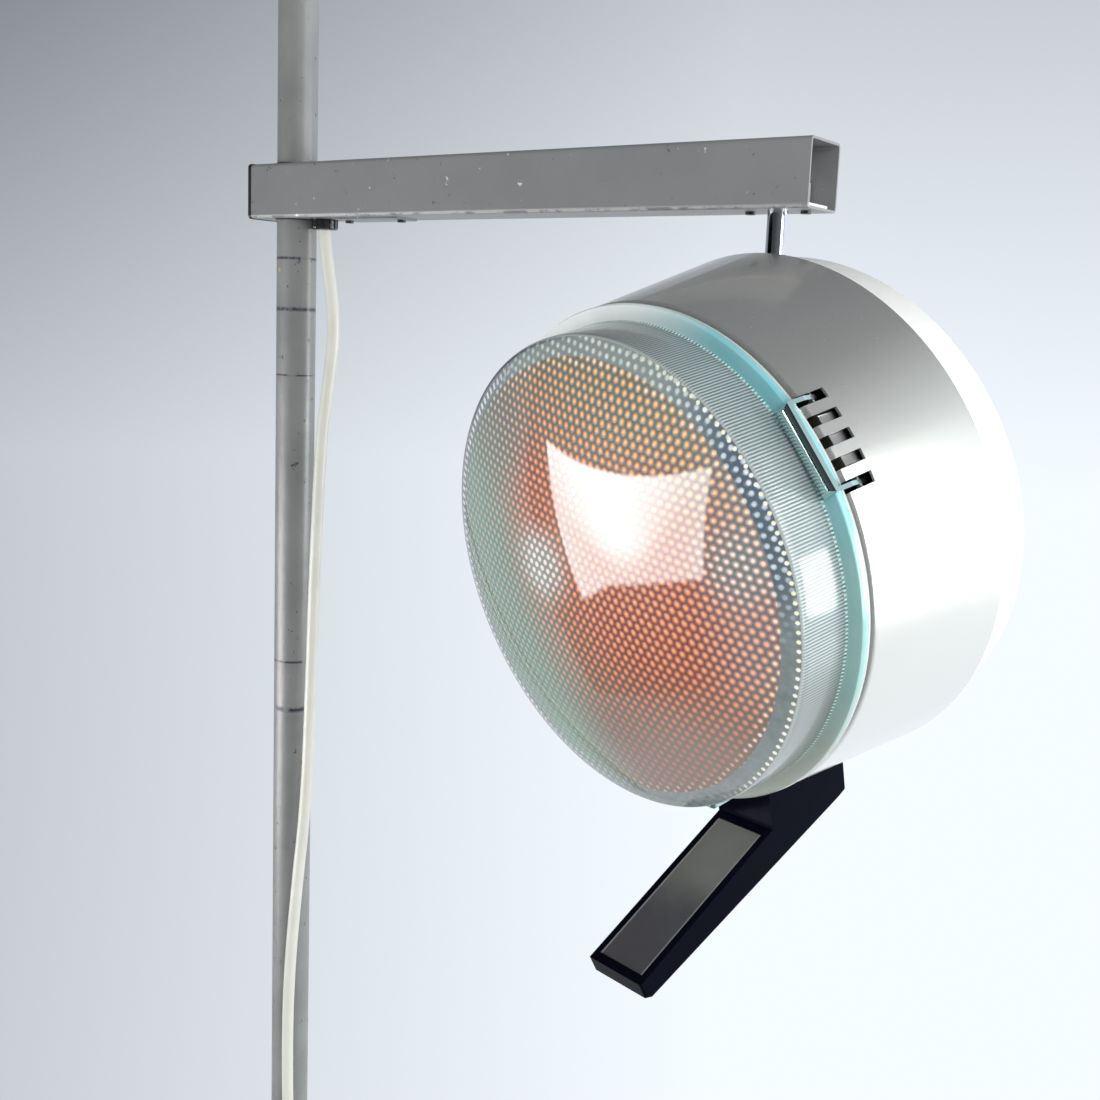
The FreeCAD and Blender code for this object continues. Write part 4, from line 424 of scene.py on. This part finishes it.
# Cord: a round mains lead in cream vinyl, which leaves a fluted gland under the arm, hangs beside the pole
# and runs over the foot to its tied coil and plug.
dress(plain_finish("gland_plastic", (0.014, 0.013, 0.017), (0.026, 0.025, 0.03), 90.0, (0.16, 0.30), 0.00006,
                   Coat_Weight=0.3), "cord_gland")
cord_diameter = 0.0094
upper_route = [
    (0.029, 0.0, 1.3572), (0.029, 0.0, 1.346), (0.0382, 0.0042, 1.284), (0.0342, 0.0018, 1.242),
    (0.0300, -0.0016, 1.196), (0.0288, -0.0028, 1.150),
]
lower_route = [
    (0.0288, -0.0028, 1.150), (0.027287, -0.004313, 1.092), (0.0258, -0.0056, 1.000),
    (0.0244, -0.0080, 0.905), (0.0196, -0.0132, 0.830), (0.0156, -0.0172, 0.752), (0.0150, -0.0176, 0.668),
    (0.0180, -0.0164, 0.582), (0.0226, -0.0140, 0.495), (0.0270, -0.0110, 0.408), (0.0316, -0.0080, 0.322),
    (0.0380, -0.0056, 0.240), (0.0470, -0.0040, 0.172), (0.0610, -0.0030, 0.120), (0.0840, -0.0022, 0.080),
    (0.1160, -0.0012, 0.0575), (0.1540, -0.0002, 0.0455), (0.1930, 0.0008, 0.0385), (0.2280, 0.0018, 0.0275),
    (0.2540, 0.0026, 0.0134), (0.2900, 0.0035, 0.0065),
]
coil_centre = Vector((0.312, 0.065, 0.0065))
coil_radius = 0.0615
coil_pitch = 0.0100
coil_turns = 4.5
coil_rise = 0.0101
points_per_turn = 18
coil_tail = 0.034
coil_points = []
for step in range(int(coil_turns * points_per_turn) + 1):
    turn = step / points_per_turn
    angle = math.radians(turn * 360.0 - 90.0)
    radius = coil_radius - coil_pitch * min(turn, coil_turns - turn)
    share = min(max((turn - coil_turns / 2) * 2 + 0.5, 0.0), 1.0)
    height = coil_rise * share * share * (3 - 2 * share)
    coil_points.append(coil_centre + Vector((radius * math.cos(angle), radius * math.sin(angle), height)))
coil_points.append(coil_points[-1] - Vector((coil_tail, 0.0, 0.0)))


def cord_tube(name, route):
    """A smooth tube along a route, and the points of its centre line."""
    curve = bpy.data.curves.new(name, "CURVE")
    curve.dimensions = "3D"
    line = curve.splines.new("NURBS")
    line.points.add(len(route) - 1)
    for point, spot in zip(line.points, route):
        point.co = (*spot, 1.0)
    line.order_u = 3
    line.use_endpoint_u = True
    line.resolution_u = 8
    holder = bpy.data.objects.new(name + "_line", curve)
    bpy.context.scene.collection.objects.link(holder)
    centre_line = [vertex.co.copy() for vertex in bpy.data.meshes.new_from_object(holder).vertices]
    curve.bevel_depth = cord_diameter / 2
    curve.bevel_resolution = 5
    curve.use_fill_caps = True
    tube = bpy.data.objects.new(name, bpy.data.meshes.new_from_object(holder))
    bpy.context.scene.collection.objects.link(tube)
    bpy.data.objects.remove(holder)
    tube.data.polygons.foreach_set("use_smooth", [True] * len(tube.data.polygons))
    return tube, centre_line


vinyl = plain_finish("cream_vinyl", (0.60, 0.605, 0.54), (0.69, 0.69, 0.63), 30.0, (0.30, 0.44), 0.00005,
                     Coat_Weight=0.1)
upper_cord, upper_line = cord_tube("cord_by_arm", upper_route)
upper_cord.data.materials.append(vinyl)
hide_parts("cord_top")
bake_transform(upper_cord)
lower_cord, lower_line = cord_tube("cord_to_floor", lower_route + coil_points)
lower_cord.data.materials.append(vinyl)
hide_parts("cord_drop", "cord_coil")
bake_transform(lower_cord)


dress(vinyl, "arm_lead")
dress(plain_finish("tie_rubber", (0.02, 0.02, 0.022), (0.035, 0.035, 0.037), 70.0, (0.5, 0.7), 0.0001),
      "cord_tie")
dress(plain_finish("plug_vinyl", (0.58, 0.585, 0.52), (0.66, 0.66, 0.60), 40.0, (0.32, 0.46), 0.0001),
      "cord_plug")
dress(plain_finish("plug_brass", (0.68, 0.50, 0.24), (0.78, 0.60, 0.32), 60.0, (0.20, 0.34), 0.00005,
                   Metallic=1.0), "plug_pins")

# Pin: a ground steel pin, chromed, on which the head turns under the arm.
# Its lower end is screwed into the knuckle that the head tilts on.
dress(plain_finish("chrome", (0.74, 0.76, 0.83), (0.80, 0.82, 0.87), 30.0, (0.04, 0.09), Metallic=1.0),
      "swivel_pin")
# Catches: chrome with a painted mint reflection of the glass flange in its colour.
dress(plain_finish("catch_chrome_mint_reflection", (0.58, 0.80, 0.77), (0.66, 0.85, 0.82), 40.0, (0.10, 0.18), Metallic=1.0),
      "lens_catch_1", "lens_catch_2", "lens_catch_3")
dress(plain_finish("fibre_washer", (0.30, 0.12, 0.07), (0.38, 0.17, 0.10), 90.0, (0.6, 0.8), 0.0001),
      "friction_washers")

# Bulb and reflector: a halogen capsule in a ceramic holder, before a thin glass bowl with a coating that
# throws the light back and lets the heat through.
dress(plain_finish("holder_ceramic", (0.74, 0.72, 0.66), (0.82, 0.80, 0.74), 60.0, (0.45, 0.6), 0.0001),
      "bulb_socket")
dress(plain_finish("bulb_glass", (0.90, 0.91, 0.92), (0.95, 0.95, 0.95), 30.0, (0.03, 0.06),
                   Transmission_Weight=0.9, IOR=1.46), "bulb")
dress(plain_finish("coated_mirror", (0.78, 0.50, 0.30), (0.40, 0.62, 0.56), 12.0, (0.06, 0.12), Metallic=0.9),
      "reflector")
dress(plain_finish("gasket_silicone", (0.44, 0.51, 0.49), (0.52, 0.58, 0.56), 90.0, (0.5, 0.7), 0.0001),
      "lens_gasket")

# Drum: a spun aluminium shell in satin silver lacquer, its rounded shoulder slotted for the glass catches.
# A moulded white cover is screwed to posts at its back and carries the mains switch.
material, tree, shader, here = new_finish("silver_lacquer", Metallic=0.80, Coat_Weight=0.60,
                                          Coat_Roughness=0.07)
cloud = use_group(tree, grain, here, Scale=16.0, Contrast=0.3)
flake = use_group(tree, grain, here, Scale=1500.0, Contrast=0.4)
silver = mixed(tree, cloud, (0.690, 0.690, 0.655), (0.740, 0.740, 0.705))
join(tree, (mixed(tree, flake, silver, (0.79, 0.79, 0.755)), shader.inputs["Base Color"]),
     (ranged(tree, flake, 0.0, 1.0, 0.20, 0.30), shader.inputs["Roughness"]))
dress(material, "drum_housing")
dress(plain_finish("cover_plastic", (0.70, 0.71, 0.69), (0.76, 0.77, 0.75), 30.0, (0.30, 0.42), 0.00008),
      "rear_cover")
dress(black_plastic, "switch_body")
dress(plain_finish("rocker_plastic", (0.03, 0.03, 0.032), (0.045, 0.045, 0.047), 70.0, (0.18, 0.30), 0.00006),
      "switch_rocker")

# Handle: a moulded lever in black plastic, bolted under the drum.
# A smoked strip is let into the upper face of its grip, with a painted highlight along its edge and a painted
# reflection that lightens its upper part.
dress(plain_finish("handle_black", (0.0016, 0.0019, 0.0052), (0.0026, 0.0029, 0.0070), 40.0, (0.16, 0.28),
                   0.00002, Specular_IOR_Level=0.03, Specular_Tint=(0.55, 0.62, 1.0, 1.0)), "handle_body")


def head_axes(tree, here):
    """Place along the head's axis, and in the two directions across it, from the object's coordinates."""
    mapping = add_node(tree, "Mapping", {"Location": tuple(head_origin), "Rotation": tuple(head_turn)},
                       vector_type="TEXTURE")
    split = add_node(tree, "SeparateXYZ")
    join(tree, (here, mapping.inputs["Vector"]), (mapping.outputs[0], split.inputs[0]))
    return split.outputs["X"], split.outputs["Y"], split.outputs["Z"]


strip_low, strip_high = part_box("handle_panel")
strip_half_width = 0.0182
edge_highlight_start, edge_highlight_end = strip_half_width - 0.0016, strip_half_width - 0.0008
reflection_low, reflection_high = strip_low[2] + 0.030, strip_high[2] - 0.012
reflection_unevenness = 0.012
material, tree, shader, here = new_finish("smoked_strip", Specular_IOR_Level=0.4, Coat_Weight=0.5,
                                          Coat_Roughness=0.06)
across = head_axes(tree, here)[1]
strip_axes = add_node(tree, "SeparateXYZ")
join(tree, (here, strip_axes.inputs[0]))
cloud = use_group(tree, grain, here, Scale=24.0, Contrast=0.3)
# Painted reflection: the smoked strip grows lighter towards its top, in uneven patches.
rise = counted(tree, "ADD", strip_axes.outputs["Z"], product(tree, cloud, reflection_unevenness))
smoke_and_reflection = mixed(tree, ranged(tree, rise, reflection_low, reflection_high, smooth=True), (0.056, 0.055, 0.062),
              (0.155, 0.158, 0.145))
smoke_and_reflection = mixed(tree, product(tree, cloud, 0.4), smoke_and_reflection, (0.070, 0.070, 0.072))
# Painted highlight: a pale line along the strip's edges.
edge_highlight = ranged(tree, counted(tree, "ABSOLUTE", across), edge_highlight_start, edge_highlight_end, 0.0, 0.6)
join(tree, (mixed(tree, edge_highlight, smoke_and_reflection, (0.34, 0.34, 0.35)), shader.inputs["Base Color"]),
     (ranged(tree, cloud, 0.0, 1.0, 0.14, 0.26), shader.inputs["Roughness"]))
dress(material, "handle_panel")

# Front glass: a pressed lens. Its face is smooth outside and covered inside with a close pattern of small
# round lenses, in which the lit coated bowl behind shows as bright dots; these dots are a painted image of
# that light in the face's colour. Its wall is ribbed, and the catches hold it by its flange.
rim_radius = 0.137
dome_height = 0.024
wall_radius = 0.1385
wall_depth = 0.034
flange_radius = 0.1475
flange_depth = 0.040
glass_thickness = 0.005
rim_steps = ((0.0006, 0.0006), (0.0016, 0.0009))
wall_drafts = ((0.006, 0.0005), (0.015, 0.0003), (0.025, 0.0001))
corner_round, corner_step = 0.0015, 0.0004
edge_round, edge_step = 0.0020, 0.0006
inner_rim_depth = 0.0045
sphere_radius = (rim_radius ** 2 + dome_height ** 2) / (2 * dome_height)
dome_steps = 22
profile = []
for step in range(dome_steps + 1):
    out_by = rim_radius * step / dome_steps
    profile.append((dome_height - sphere_radius + math.sqrt(sphere_radius ** 2 - out_by ** 2), out_by))
profile += [(-depth, rim_radius + out) for depth, out in rim_steps]
profile += [(-depth, wall_radius - draft) for depth, draft in wall_drafts]
profile += [
    (-wall_depth + corner_round, wall_radius), (-wall_depth + corner_step, wall_radius + corner_step),
    (-wall_depth, wall_radius + corner_round), (-wall_depth, flange_radius - edge_round),
    (-wall_depth - edge_step, flange_radius - edge_step), (-wall_depth - edge_round, flange_radius),
    (-flange_depth + edge_round, flange_radius), (-flange_depth + edge_step, flange_radius - edge_step),
    (-flange_depth, flange_radius - edge_round), (-flange_depth, wall_radius - glass_thickness),
    (-inner_rim_depth, rim_radius - glass_thickness),
]
inner_steps = 8
inner_rim = profile[-1]
for step in range(1, inner_steps + 1):
    out_by = inner_rim[1] * (1 - step / inner_steps)
    rise = (dome_height - glass_thickness - inner_rim[0]) * (1 - (out_by / inner_rim[1]) ** 2)
    profile.append((inner_rim[0] + rise, out_by))
turned_steps = 240
head_matrix = Matrix.Translation(head_origin) @ head_turn.to_matrix().to_4x4()


def turned_in_head(name, outline, steps):
    """A closed outline turned about the head's axis, set in its place in the head."""
    bpy.ops.object.select_all(action="DESELECT")
    bpy.ops.mesh.primitive_plane_add(size=0.01, location=(0.0, 0.0, 0.0))
    piece = bpy.context.active_object
    piece.name = name
    bpy.ops.object.mode_set(mode="EDIT")
    bpy.ops.mesh.select_all(action="SELECT")
    bpy.ops.mesh.merge(type="CENTER")
    bpy.ops.transform.translate(value=(outline[0][0], 0.0, outline[0][1]))
    for before, after in zip(outline, outline[1:]):
        step = (after[0] - before[0], 0.0, after[1] - before[1])
        bpy.ops.mesh.extrude_region_move(TRANSFORM_OT_translate={"value": step})
    bpy.ops.mesh.select_all(action="SELECT")
    bpy.ops.mesh.spin(steps=steps, angle=2 * math.pi, center=(0.0, 0.0, 0.0), axis=(1.0, 0.0, 0.0))
    bpy.ops.mesh.select_all(action="SELECT")
    bpy.ops.mesh.remove_doubles(threshold=0.00001)
    bpy.ops.mesh.normals_make_consistent(inside=False)
    bpy.ops.object.mode_set(mode="OBJECT")
    piece.matrix_world = head_matrix
    bpy.ops.object.transform_apply(location=True, rotation=True, scale=True)
    bpy.ops.object.shade_smooth_by_angle(angle=math.radians(40.0))
    return piece


glass = turned_in_head("pressed_glass", profile, turned_steps)

# Glass face: a triangular lattice of painted bright dots, the painted image of the lit bowl behind, tinted in
# broad soft patches of painted light and shade by what lies behind each part. Outside the dots are a band of
# clear lenses and a row of beads round the rim, both with painted glints.
lens_pitch = 0.00530
lens_turn = math.radians(12.75)
lens_offset = (0.0002, -0.0012, 0.0)
row_share = math.sqrt(3)
last_row_span = (0.1205, 0.1235)
band_edge = (0.1265, 0.1272)
left_rim_edge = (0.1285, 0.1290)
left_bead_inner, left_bead_outer = (0.1300, 0.1306), (0.1344, 0.1338)
outline_edge = (0.1352, 0.1362)
rim_bead_count = 168
rim_bead_radius, rim_bead_half_width = 0.1357, 0.0013
lens_relief = 0.0012
material, tree, shader, here = new_finish("lens_face", Roughness=0.25, Specular_IOR_Level=0.2,
                                          Coat_Weight=1.0, Coat_Roughness=0.015, Coat_IOR=1.7)
across, above = head_axes(tree, here)[1:]
flat = add_node(tree, "CombineXYZ")
shift = add_node(tree, "VectorMath", {1: lens_offset}, operation="ADD")
grid = add_node(tree, "Mapping", {"Rotation": (0.0, 0.0, lens_turn)})
unit = add_node(tree, "VectorMath", {1: (1 / lens_pitch,) * 3}, operation="MULTIPLY")
join(tree, (across, flat.inputs[0]), (above, flat.inputs[1]), (flat.outputs[0], shift.inputs[0]),
     (shift.outputs[0], grid.inputs["Vector"]), (grid.outputs[0], unit.inputs[0]))
distances = []
for offset in ((0.0, 0.0, 0.0), (0.5, row_share / 2, 0.0)):
    moved = add_node(tree, "VectorMath", {1: offset}, operation="ADD")
    cell = add_node(tree, "VectorMath", {1: (0.5, row_share / 2, 1.0), 2: (-0.5, -row_share / 2, -1.0)},
                    operation="WRAP")
    size = add_node(tree, "VectorMath", operation="LENGTH")
    join(tree, (unit.outputs[0], moved.inputs[0]), (moved.outputs[0], cell.inputs[0]),
         (cell.outputs[0], size.inputs[0]))
    distances.append(size.outputs["Value"])
from_dot = counted(tree, "MINIMUM", *distances)
out_by = counted(tree, "SQRT", counted(tree, "ADD", counted(tree, "POWER", across, 2.0),
                                       counted(tree, "POWER", above, 2.0)))


def patch(tree, place, centre, inner, outer):
    """A soft round patch: 1 about its centre, 0 beyond its outer radius."""
    gap = add_node(tree, "VectorMath", {1: (*centre, 0.0)}, operation="DISTANCE")
    tree.links.new(place, gap.inputs[0])
    return ranged(tree, gap.outputs["Value"], inner, outer, 1.0, 0.0, smooth=True)


spot = flat.outputs[0]
cloud = use_group(tree, grain, here, Scale=28.0, Contrast=0.3)
to_left = counted(tree, "ADD", product(tree, across, -0.94), product(tree, above, -0.33))
greenish = ranged(tree, to_left, 0.012, 0.082, smooth=True)
left_glow = product(tree, patch(tree, spot, (-0.030, 0.050), 0.012, 0.042), 0.75)
reddish = product(tree, patch(tree, spot, (0.058, 0.002), 0.038, 0.100), 0.95)
reddish = counted(tree, "MAXIMUM", reddish, left_glow)
# Painted light: the dots grow brighter and more golden towards the top.
to_top = counted(tree, "ADD", product(tree, across, 0.35), product(tree, above, 0.90))
golden_painted_light = ranged(tree, to_top, 0.045, 0.110, smooth=True)
minty = product(tree, patch(tree, spot, (-0.031, 0.010), 0.007, 0.032), 0.85)
neutral = product(tree, patch(tree, spot, (-0.074, 0.084), 0.012, 0.052), 0.7)
# Painted shade: the dots and their ground grow dimmer towards the foot.
to_foot = counted(tree, "ADD", product(tree, across, -0.10), above)
painted_shade_below = ranged(tree, to_foot, -0.028, -0.100, smooth=True)
grey_ground = mixed(tree, cloud, (0.110, 0.180, 0.158), (0.150, 0.215, 0.192))
red_ground = mixed(tree, cloud, (0.200, 0.064, 0.050), (0.255, 0.088, 0.068))
ground = mixed(tree, reddish, grey_ground, red_ground)
ground = mixed(tree, greenish, ground, mixed(tree, cloud, (0.105, 0.250, 0.185), (0.145, 0.285, 0.220)))
ground = mixed(tree, painted_shade_below, ground, mixed(tree, greenish, (0.195, 0.158, 0.124), (0.225, 0.345, 0.265)))
ground = mixed(tree, neutral, ground, mixed(tree, cloud, (0.150, 0.168, 0.160), (0.190, 0.205, 0.196)))
ground = mixed(tree, minty, ground, (0.270, 0.440, 0.430))
warm_dot = mixed(tree, golden_painted_light, (1.0, 0.42, 0.215), (1.0, 0.610, 0.300))
dot_tone = mixed(tree, greenish, warm_dot, (0.54, 0.500, 0.430))
dot_tone = mixed(tree, painted_shade_below, dot_tone, mixed(tree, greenish, (0.440, 0.172, 0.138), (0.380, 0.450, 0.395)))
paled = product(tree, ranged(tree, across, 0.070, 0.115, smooth=True),
                ranged(tree, above, -0.075, -0.020, 0.0, 0.3, smooth=True))
dot_tone = mixed(tree, paled, dot_tone, (1.0, 0.74, 0.56))
pale_ground = product(tree, paled, 2.0)
ground = mixed(tree, pale_ground, ground, mixed(tree, cloud, (0.185, 0.180, 0.190), (0.240, 0.225, 0.230)))
dot_tone = mixed(tree, neutral, dot_tone, (0.68, 0.560, 0.440))
dot_tone = mixed(tree, minty, dot_tone, (0.96, 1.0, 0.97))
# Painted highlight: a bright patch of pale dots on the right of the face.
painted_highlight_right = product(tree, patch(tree, spot, (0.106, 0.028), 0.006, 0.030), 0.7)
dot_tone = mixed(tree, painted_highlight_right, dot_tone, (0.88, 1.0, 0.97))
ground = mixed(tree, painted_highlight_right, ground, (0.130, 0.250, 0.255))
# Painted glow: a soft halo of light round each dot.
painted_glow_tone = mixed(tree, golden_painted_light, mixed(tree, greenish, (0.54, 0.190, 0.125), (0.280, 0.370, 0.310)),
                  (0.46, 0.285, 0.190))
painted_glow_tone = mixed(tree, counted(tree, "MAXIMUM", painted_shade_below, neutral), painted_glow_tone, ground)
painted_glow_tone = mixed(tree, pale_ground, painted_glow_tone, (0.400, 0.350, 0.345))
dot_edge = counted(tree, "SUBTRACT", from_dot, product(tree, minty, 0.10))
dot_edge = counted(tree, "SUBTRACT", dot_edge, product(tree, painted_shade_below, 0.06))
halo = mixed(tree, ranged(tree, from_dot, 0.27, 0.52, smooth=True), painted_glow_tone, ground)
face = mixed(tree, ranged(tree, dot_edge, 0.10, 0.33, smooth=True), dot_tone, halo)
round_by = counted(tree, "ARCTAN2", above, across)
sparkle = use_group(tree, grain, here, Scale=150.0, Contrast=0.2)
upper = ranged(tree, counted(tree, "ADD", across, above), -0.02, 0.05, smooth=True)
lower_right = ranged(tree, counted(tree, "SUBTRACT", across, above), 0.085, 0.150, smooth=True)
# Painted glints: the last row of dots lit bright at the top and lower right.
last_row_glints = product(tree, ranged(tree, out_by, *last_row_span), ranged(tree, from_dot, 0.12, 0.26, 1.0, 0.0),
                   counted(tree, "MAXIMUM", upper, product(tree, lower_right, 0.35)))
face = mixed(tree, last_row_glints, face, mixed(tree, sparkle, (1.0, 0.62, 0.16), (0.80, 0.90, 1.0)))
# Painted light: the outer band is lighter on the right and darker on the left, and its bright beads are
# painted glints.
painted_light_right = ranged(tree, across, 0.055, 0.110, smooth=True)
bead_glint_tone = mixed(tree, painted_light_right, mixed(tree, sparkle, (0.46, 0.54, 0.51), (0.80, 0.86, 0.78)),
                  mixed(tree, sparkle, (0.34, 0.44, 0.52), (0.90, 0.96, 1.0)))
band_ground = mixed(tree, painted_light_right, (0.260, 0.308, 0.300),
                    mixed(tree, cloud, (0.075, 0.110, 0.150), (0.120, 0.165, 0.200)))
band = mixed(tree, ranged(tree, from_dot, 0.12, 0.38, smooth=True), bead_glint_tone, band_ground)
left_side = ranged(tree, across, -0.045, -0.095, smooth=True)
left_band = mixed(tree, ranged(tree, from_dot, 0.10, 0.34, smooth=True), (0.66, 0.72, 0.72),
                  (0.170, 0.210, 0.215))
band = mixed(tree, left_side, band, left_band)
band = mixed(tree, lower_right, band, mixed(tree, sparkle, (0.170, 0.210, 0.215), (0.245, 0.280, 0.275)))
face = mixed(tree, ranged(tree, out_by, *band_edge), face, band)
rim_wave = counted(tree, "SINE", product(tree, round_by, float(rim_bead_count)))
rim_bead = ranged(tree, rim_wave, -0.1, 0.6)
off_rim = counted(tree, "DIVIDE", counted(tree, "SUBTRACT", out_by, rim_bead_radius), rim_bead_half_width)
rim_height = counted(tree, "SUBTRACT", rim_wave, counted(tree, "POWER", off_rim, 2.0))
rim_round = ranged(tree, rim_height, -0.25, 0.6, smooth=True)
# Painted glints: bright beads round the lower right of the rim.
rim_bead_glints = product(tree, rim_round, ranged(tree, across, 0.03, 0.075), ranged(tree, above, -0.118, -0.085))
rim_glint_tone = mixed(tree, sparkle, (0.92, 0.86, 0.52), (0.94, 0.98, 0.97))
face = mixed(tree, rim_bead_glints, face, rim_glint_tone)
left_rim = product(tree, ranged(tree, out_by, *left_rim_edge), left_side)
face = mixed(tree, left_rim, face, mixed(tree, cloud, (0.200, 0.235, 0.250), (0.260, 0.295, 0.305)))
# Painted glints: bright beads round the left of the rim.
left_bead_glints = product(tree, rim_bead, left_side, ranged(tree, out_by, *left_bead_inner),
                    ranged(tree, out_by, *left_bead_outer))
face = mixed(tree, left_bead_glints, face, (0.92, 0.96, 0.96))
# Painted shade: a thin dark line along the left edge of the rim.
outline = product(tree, ranged(tree, out_by, *outline_edge), ranged(tree, across, 0.0, -0.06))
face = mixed(tree, outline, face, (0.060, 0.070, 0.095))
lens_dome = ranged(tree, from_dot, 0.0, 0.56, 1.0, 0.0, smooth=True)
join(tree, (face, shader.inputs["Base Color"]),
     (raised(tree, lens_dome, lens_relief, 0.35), shader.inputs["Normal"]))
lens_face = material

# Glass wall: fine ribs along its depth, with painted highlights on their ridges and painted shade in their
# grooves, bright on the right and faint to the left and below, and a painted light band along its front edge.
# A row of beads with painted glints runs round it just before the flange.
rib_count = 470
rib_relief = 0.0006
edge_bead_count = 378
edge_bead_span = (-0.0318, -0.0322)
lit_edge_span = (-0.0024, -0.0003)
material, tree, shader, here = new_finish("lens_wall", Specular_IOR_Level=0.3, Coat_Weight=0.7,
                                          Coat_Roughness=0.11, Coat_IOR=1.6)
deep, across, above = head_axes(tree, here)
round_by = counted(tree, "ARCTAN2", above, across)
rib = ranged(tree, counted(tree, "SINE", product(tree, round_by, float(rib_count))), -1.0, 1.0)
cloud = use_group(tree, grain, here, Scale=60.0, Contrast=0.3)
low_side = ranged(tree, above, 0.01, -0.065, smooth=True)
top_side = ranged(tree, across, 0.085, 0.0, smooth=True)
# Painted highlights on the rib ridges and painted shade in the grooves, strongest on the right.
groove_shade = mixed(tree, cloud, (0.125, 0.150, 0.150), (0.165, 0.195, 0.195))
plain_side = counted(tree, "MAXIMUM", low_side, top_side)
groove_shade = mixed(tree, plain_side, groove_shade, (0.165, 0.190, 0.182))
ridge_highlight = mixed(tree, cloud, (0.38, 0.47, 0.47), (0.46, 0.55, 0.55))
ridge_highlight = mixed(tree, plain_side, ridge_highlight, (0.205, 0.235, 0.225))
ribbed = mixed(tree, rib, groove_shade, ridge_highlight)
# Painted light: a pale band along the wall's front edge.
ribbed = mixed(tree, ranged(tree, deep, *lit_edge_span, smooth=True), ribbed, (0.38, 0.42, 0.41))
# Painted glints: bright mint beads along the wall's back edge.
edge_bead = counted(tree, "SINE", product(tree, round_by, float(edge_bead_count)))
back_bead_glints = product(tree, ranged(tree, deep, *edge_bead_span), ranged(tree, edge_bead, -0.2, 0.6))
ribbed = mixed(tree, back_bead_glints, ribbed, (0.62, 0.94, 0.90))
rib_height = product(tree, rib, ranged(tree, plain_side, 0.0, 1.0, 1.0, 0.25))
join(tree, (ribbed, shader.inputs["Base Color"]),
     (raised(tree, rib_height, rib_relief, 0.6), shader.inputs["Normal"]),
     (ranged(tree, cloud, 0.0, 1.0, 0.14, 0.24), shader.inputs["Roughness"]))
lens_wall = material

# Glass flange: painted pale on the left as the light showing through it, with the tint of thick glass on the
# right, and painted shade below. It is the edge that the catches hold.
flange_start = 0.0333
material, tree, shader, here = new_finish("lens_flange", Coat_Weight=0.35, Coat_Roughness=0.10, Coat_IOR=1.5)
across, above = head_axes(tree, here)[1:]
rightward = ranged(tree, across, 0.0, 0.075, smooth=True)
downward = ranged(tree, above, -0.02, -0.11, smooth=True)
cloud = use_group(tree, grain, here, Scale=45.0, Contrast=0.3)
tinted = mixed(tree, ranged(tree, above, 0.0, 0.085, smooth=True), (0.270, 0.500, 0.475),
               (0.165, 0.490, 0.540))
painted_flange_tone = mixed(tree, rightward, (0.93, 0.96, 0.95), tinted)
# Painted shade: the flange darker and duller below.
painted_flange_tone = mixed(tree, downward, painted_flange_tone, (0.360, 0.385, 0.330))
painted_flange_tone = mixed(tree, product(tree, cloud, 0.35), painted_flange_tone, (0.50, 0.66, 0.66))
join(tree, (painted_flange_tone, shader.inputs["Base Color"]),
     (ranged(tree, cloud, 0.0, 1.0, 0.10, 0.20), shader.inputs["Roughness"]))
lens_flange = material
for material in (lens_face, lens_wall, lens_flange):
    glass.data.materials.append(material)
to_head = head_matrix.inverted()
for polygon in glass.data.polygons:
    depth = -(to_head @ polygon.center).x
    polygon.material_index = 0 if depth < 0.0 else 1 if depth < flange_start else 2
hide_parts("front_glass")
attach(glass, "head")
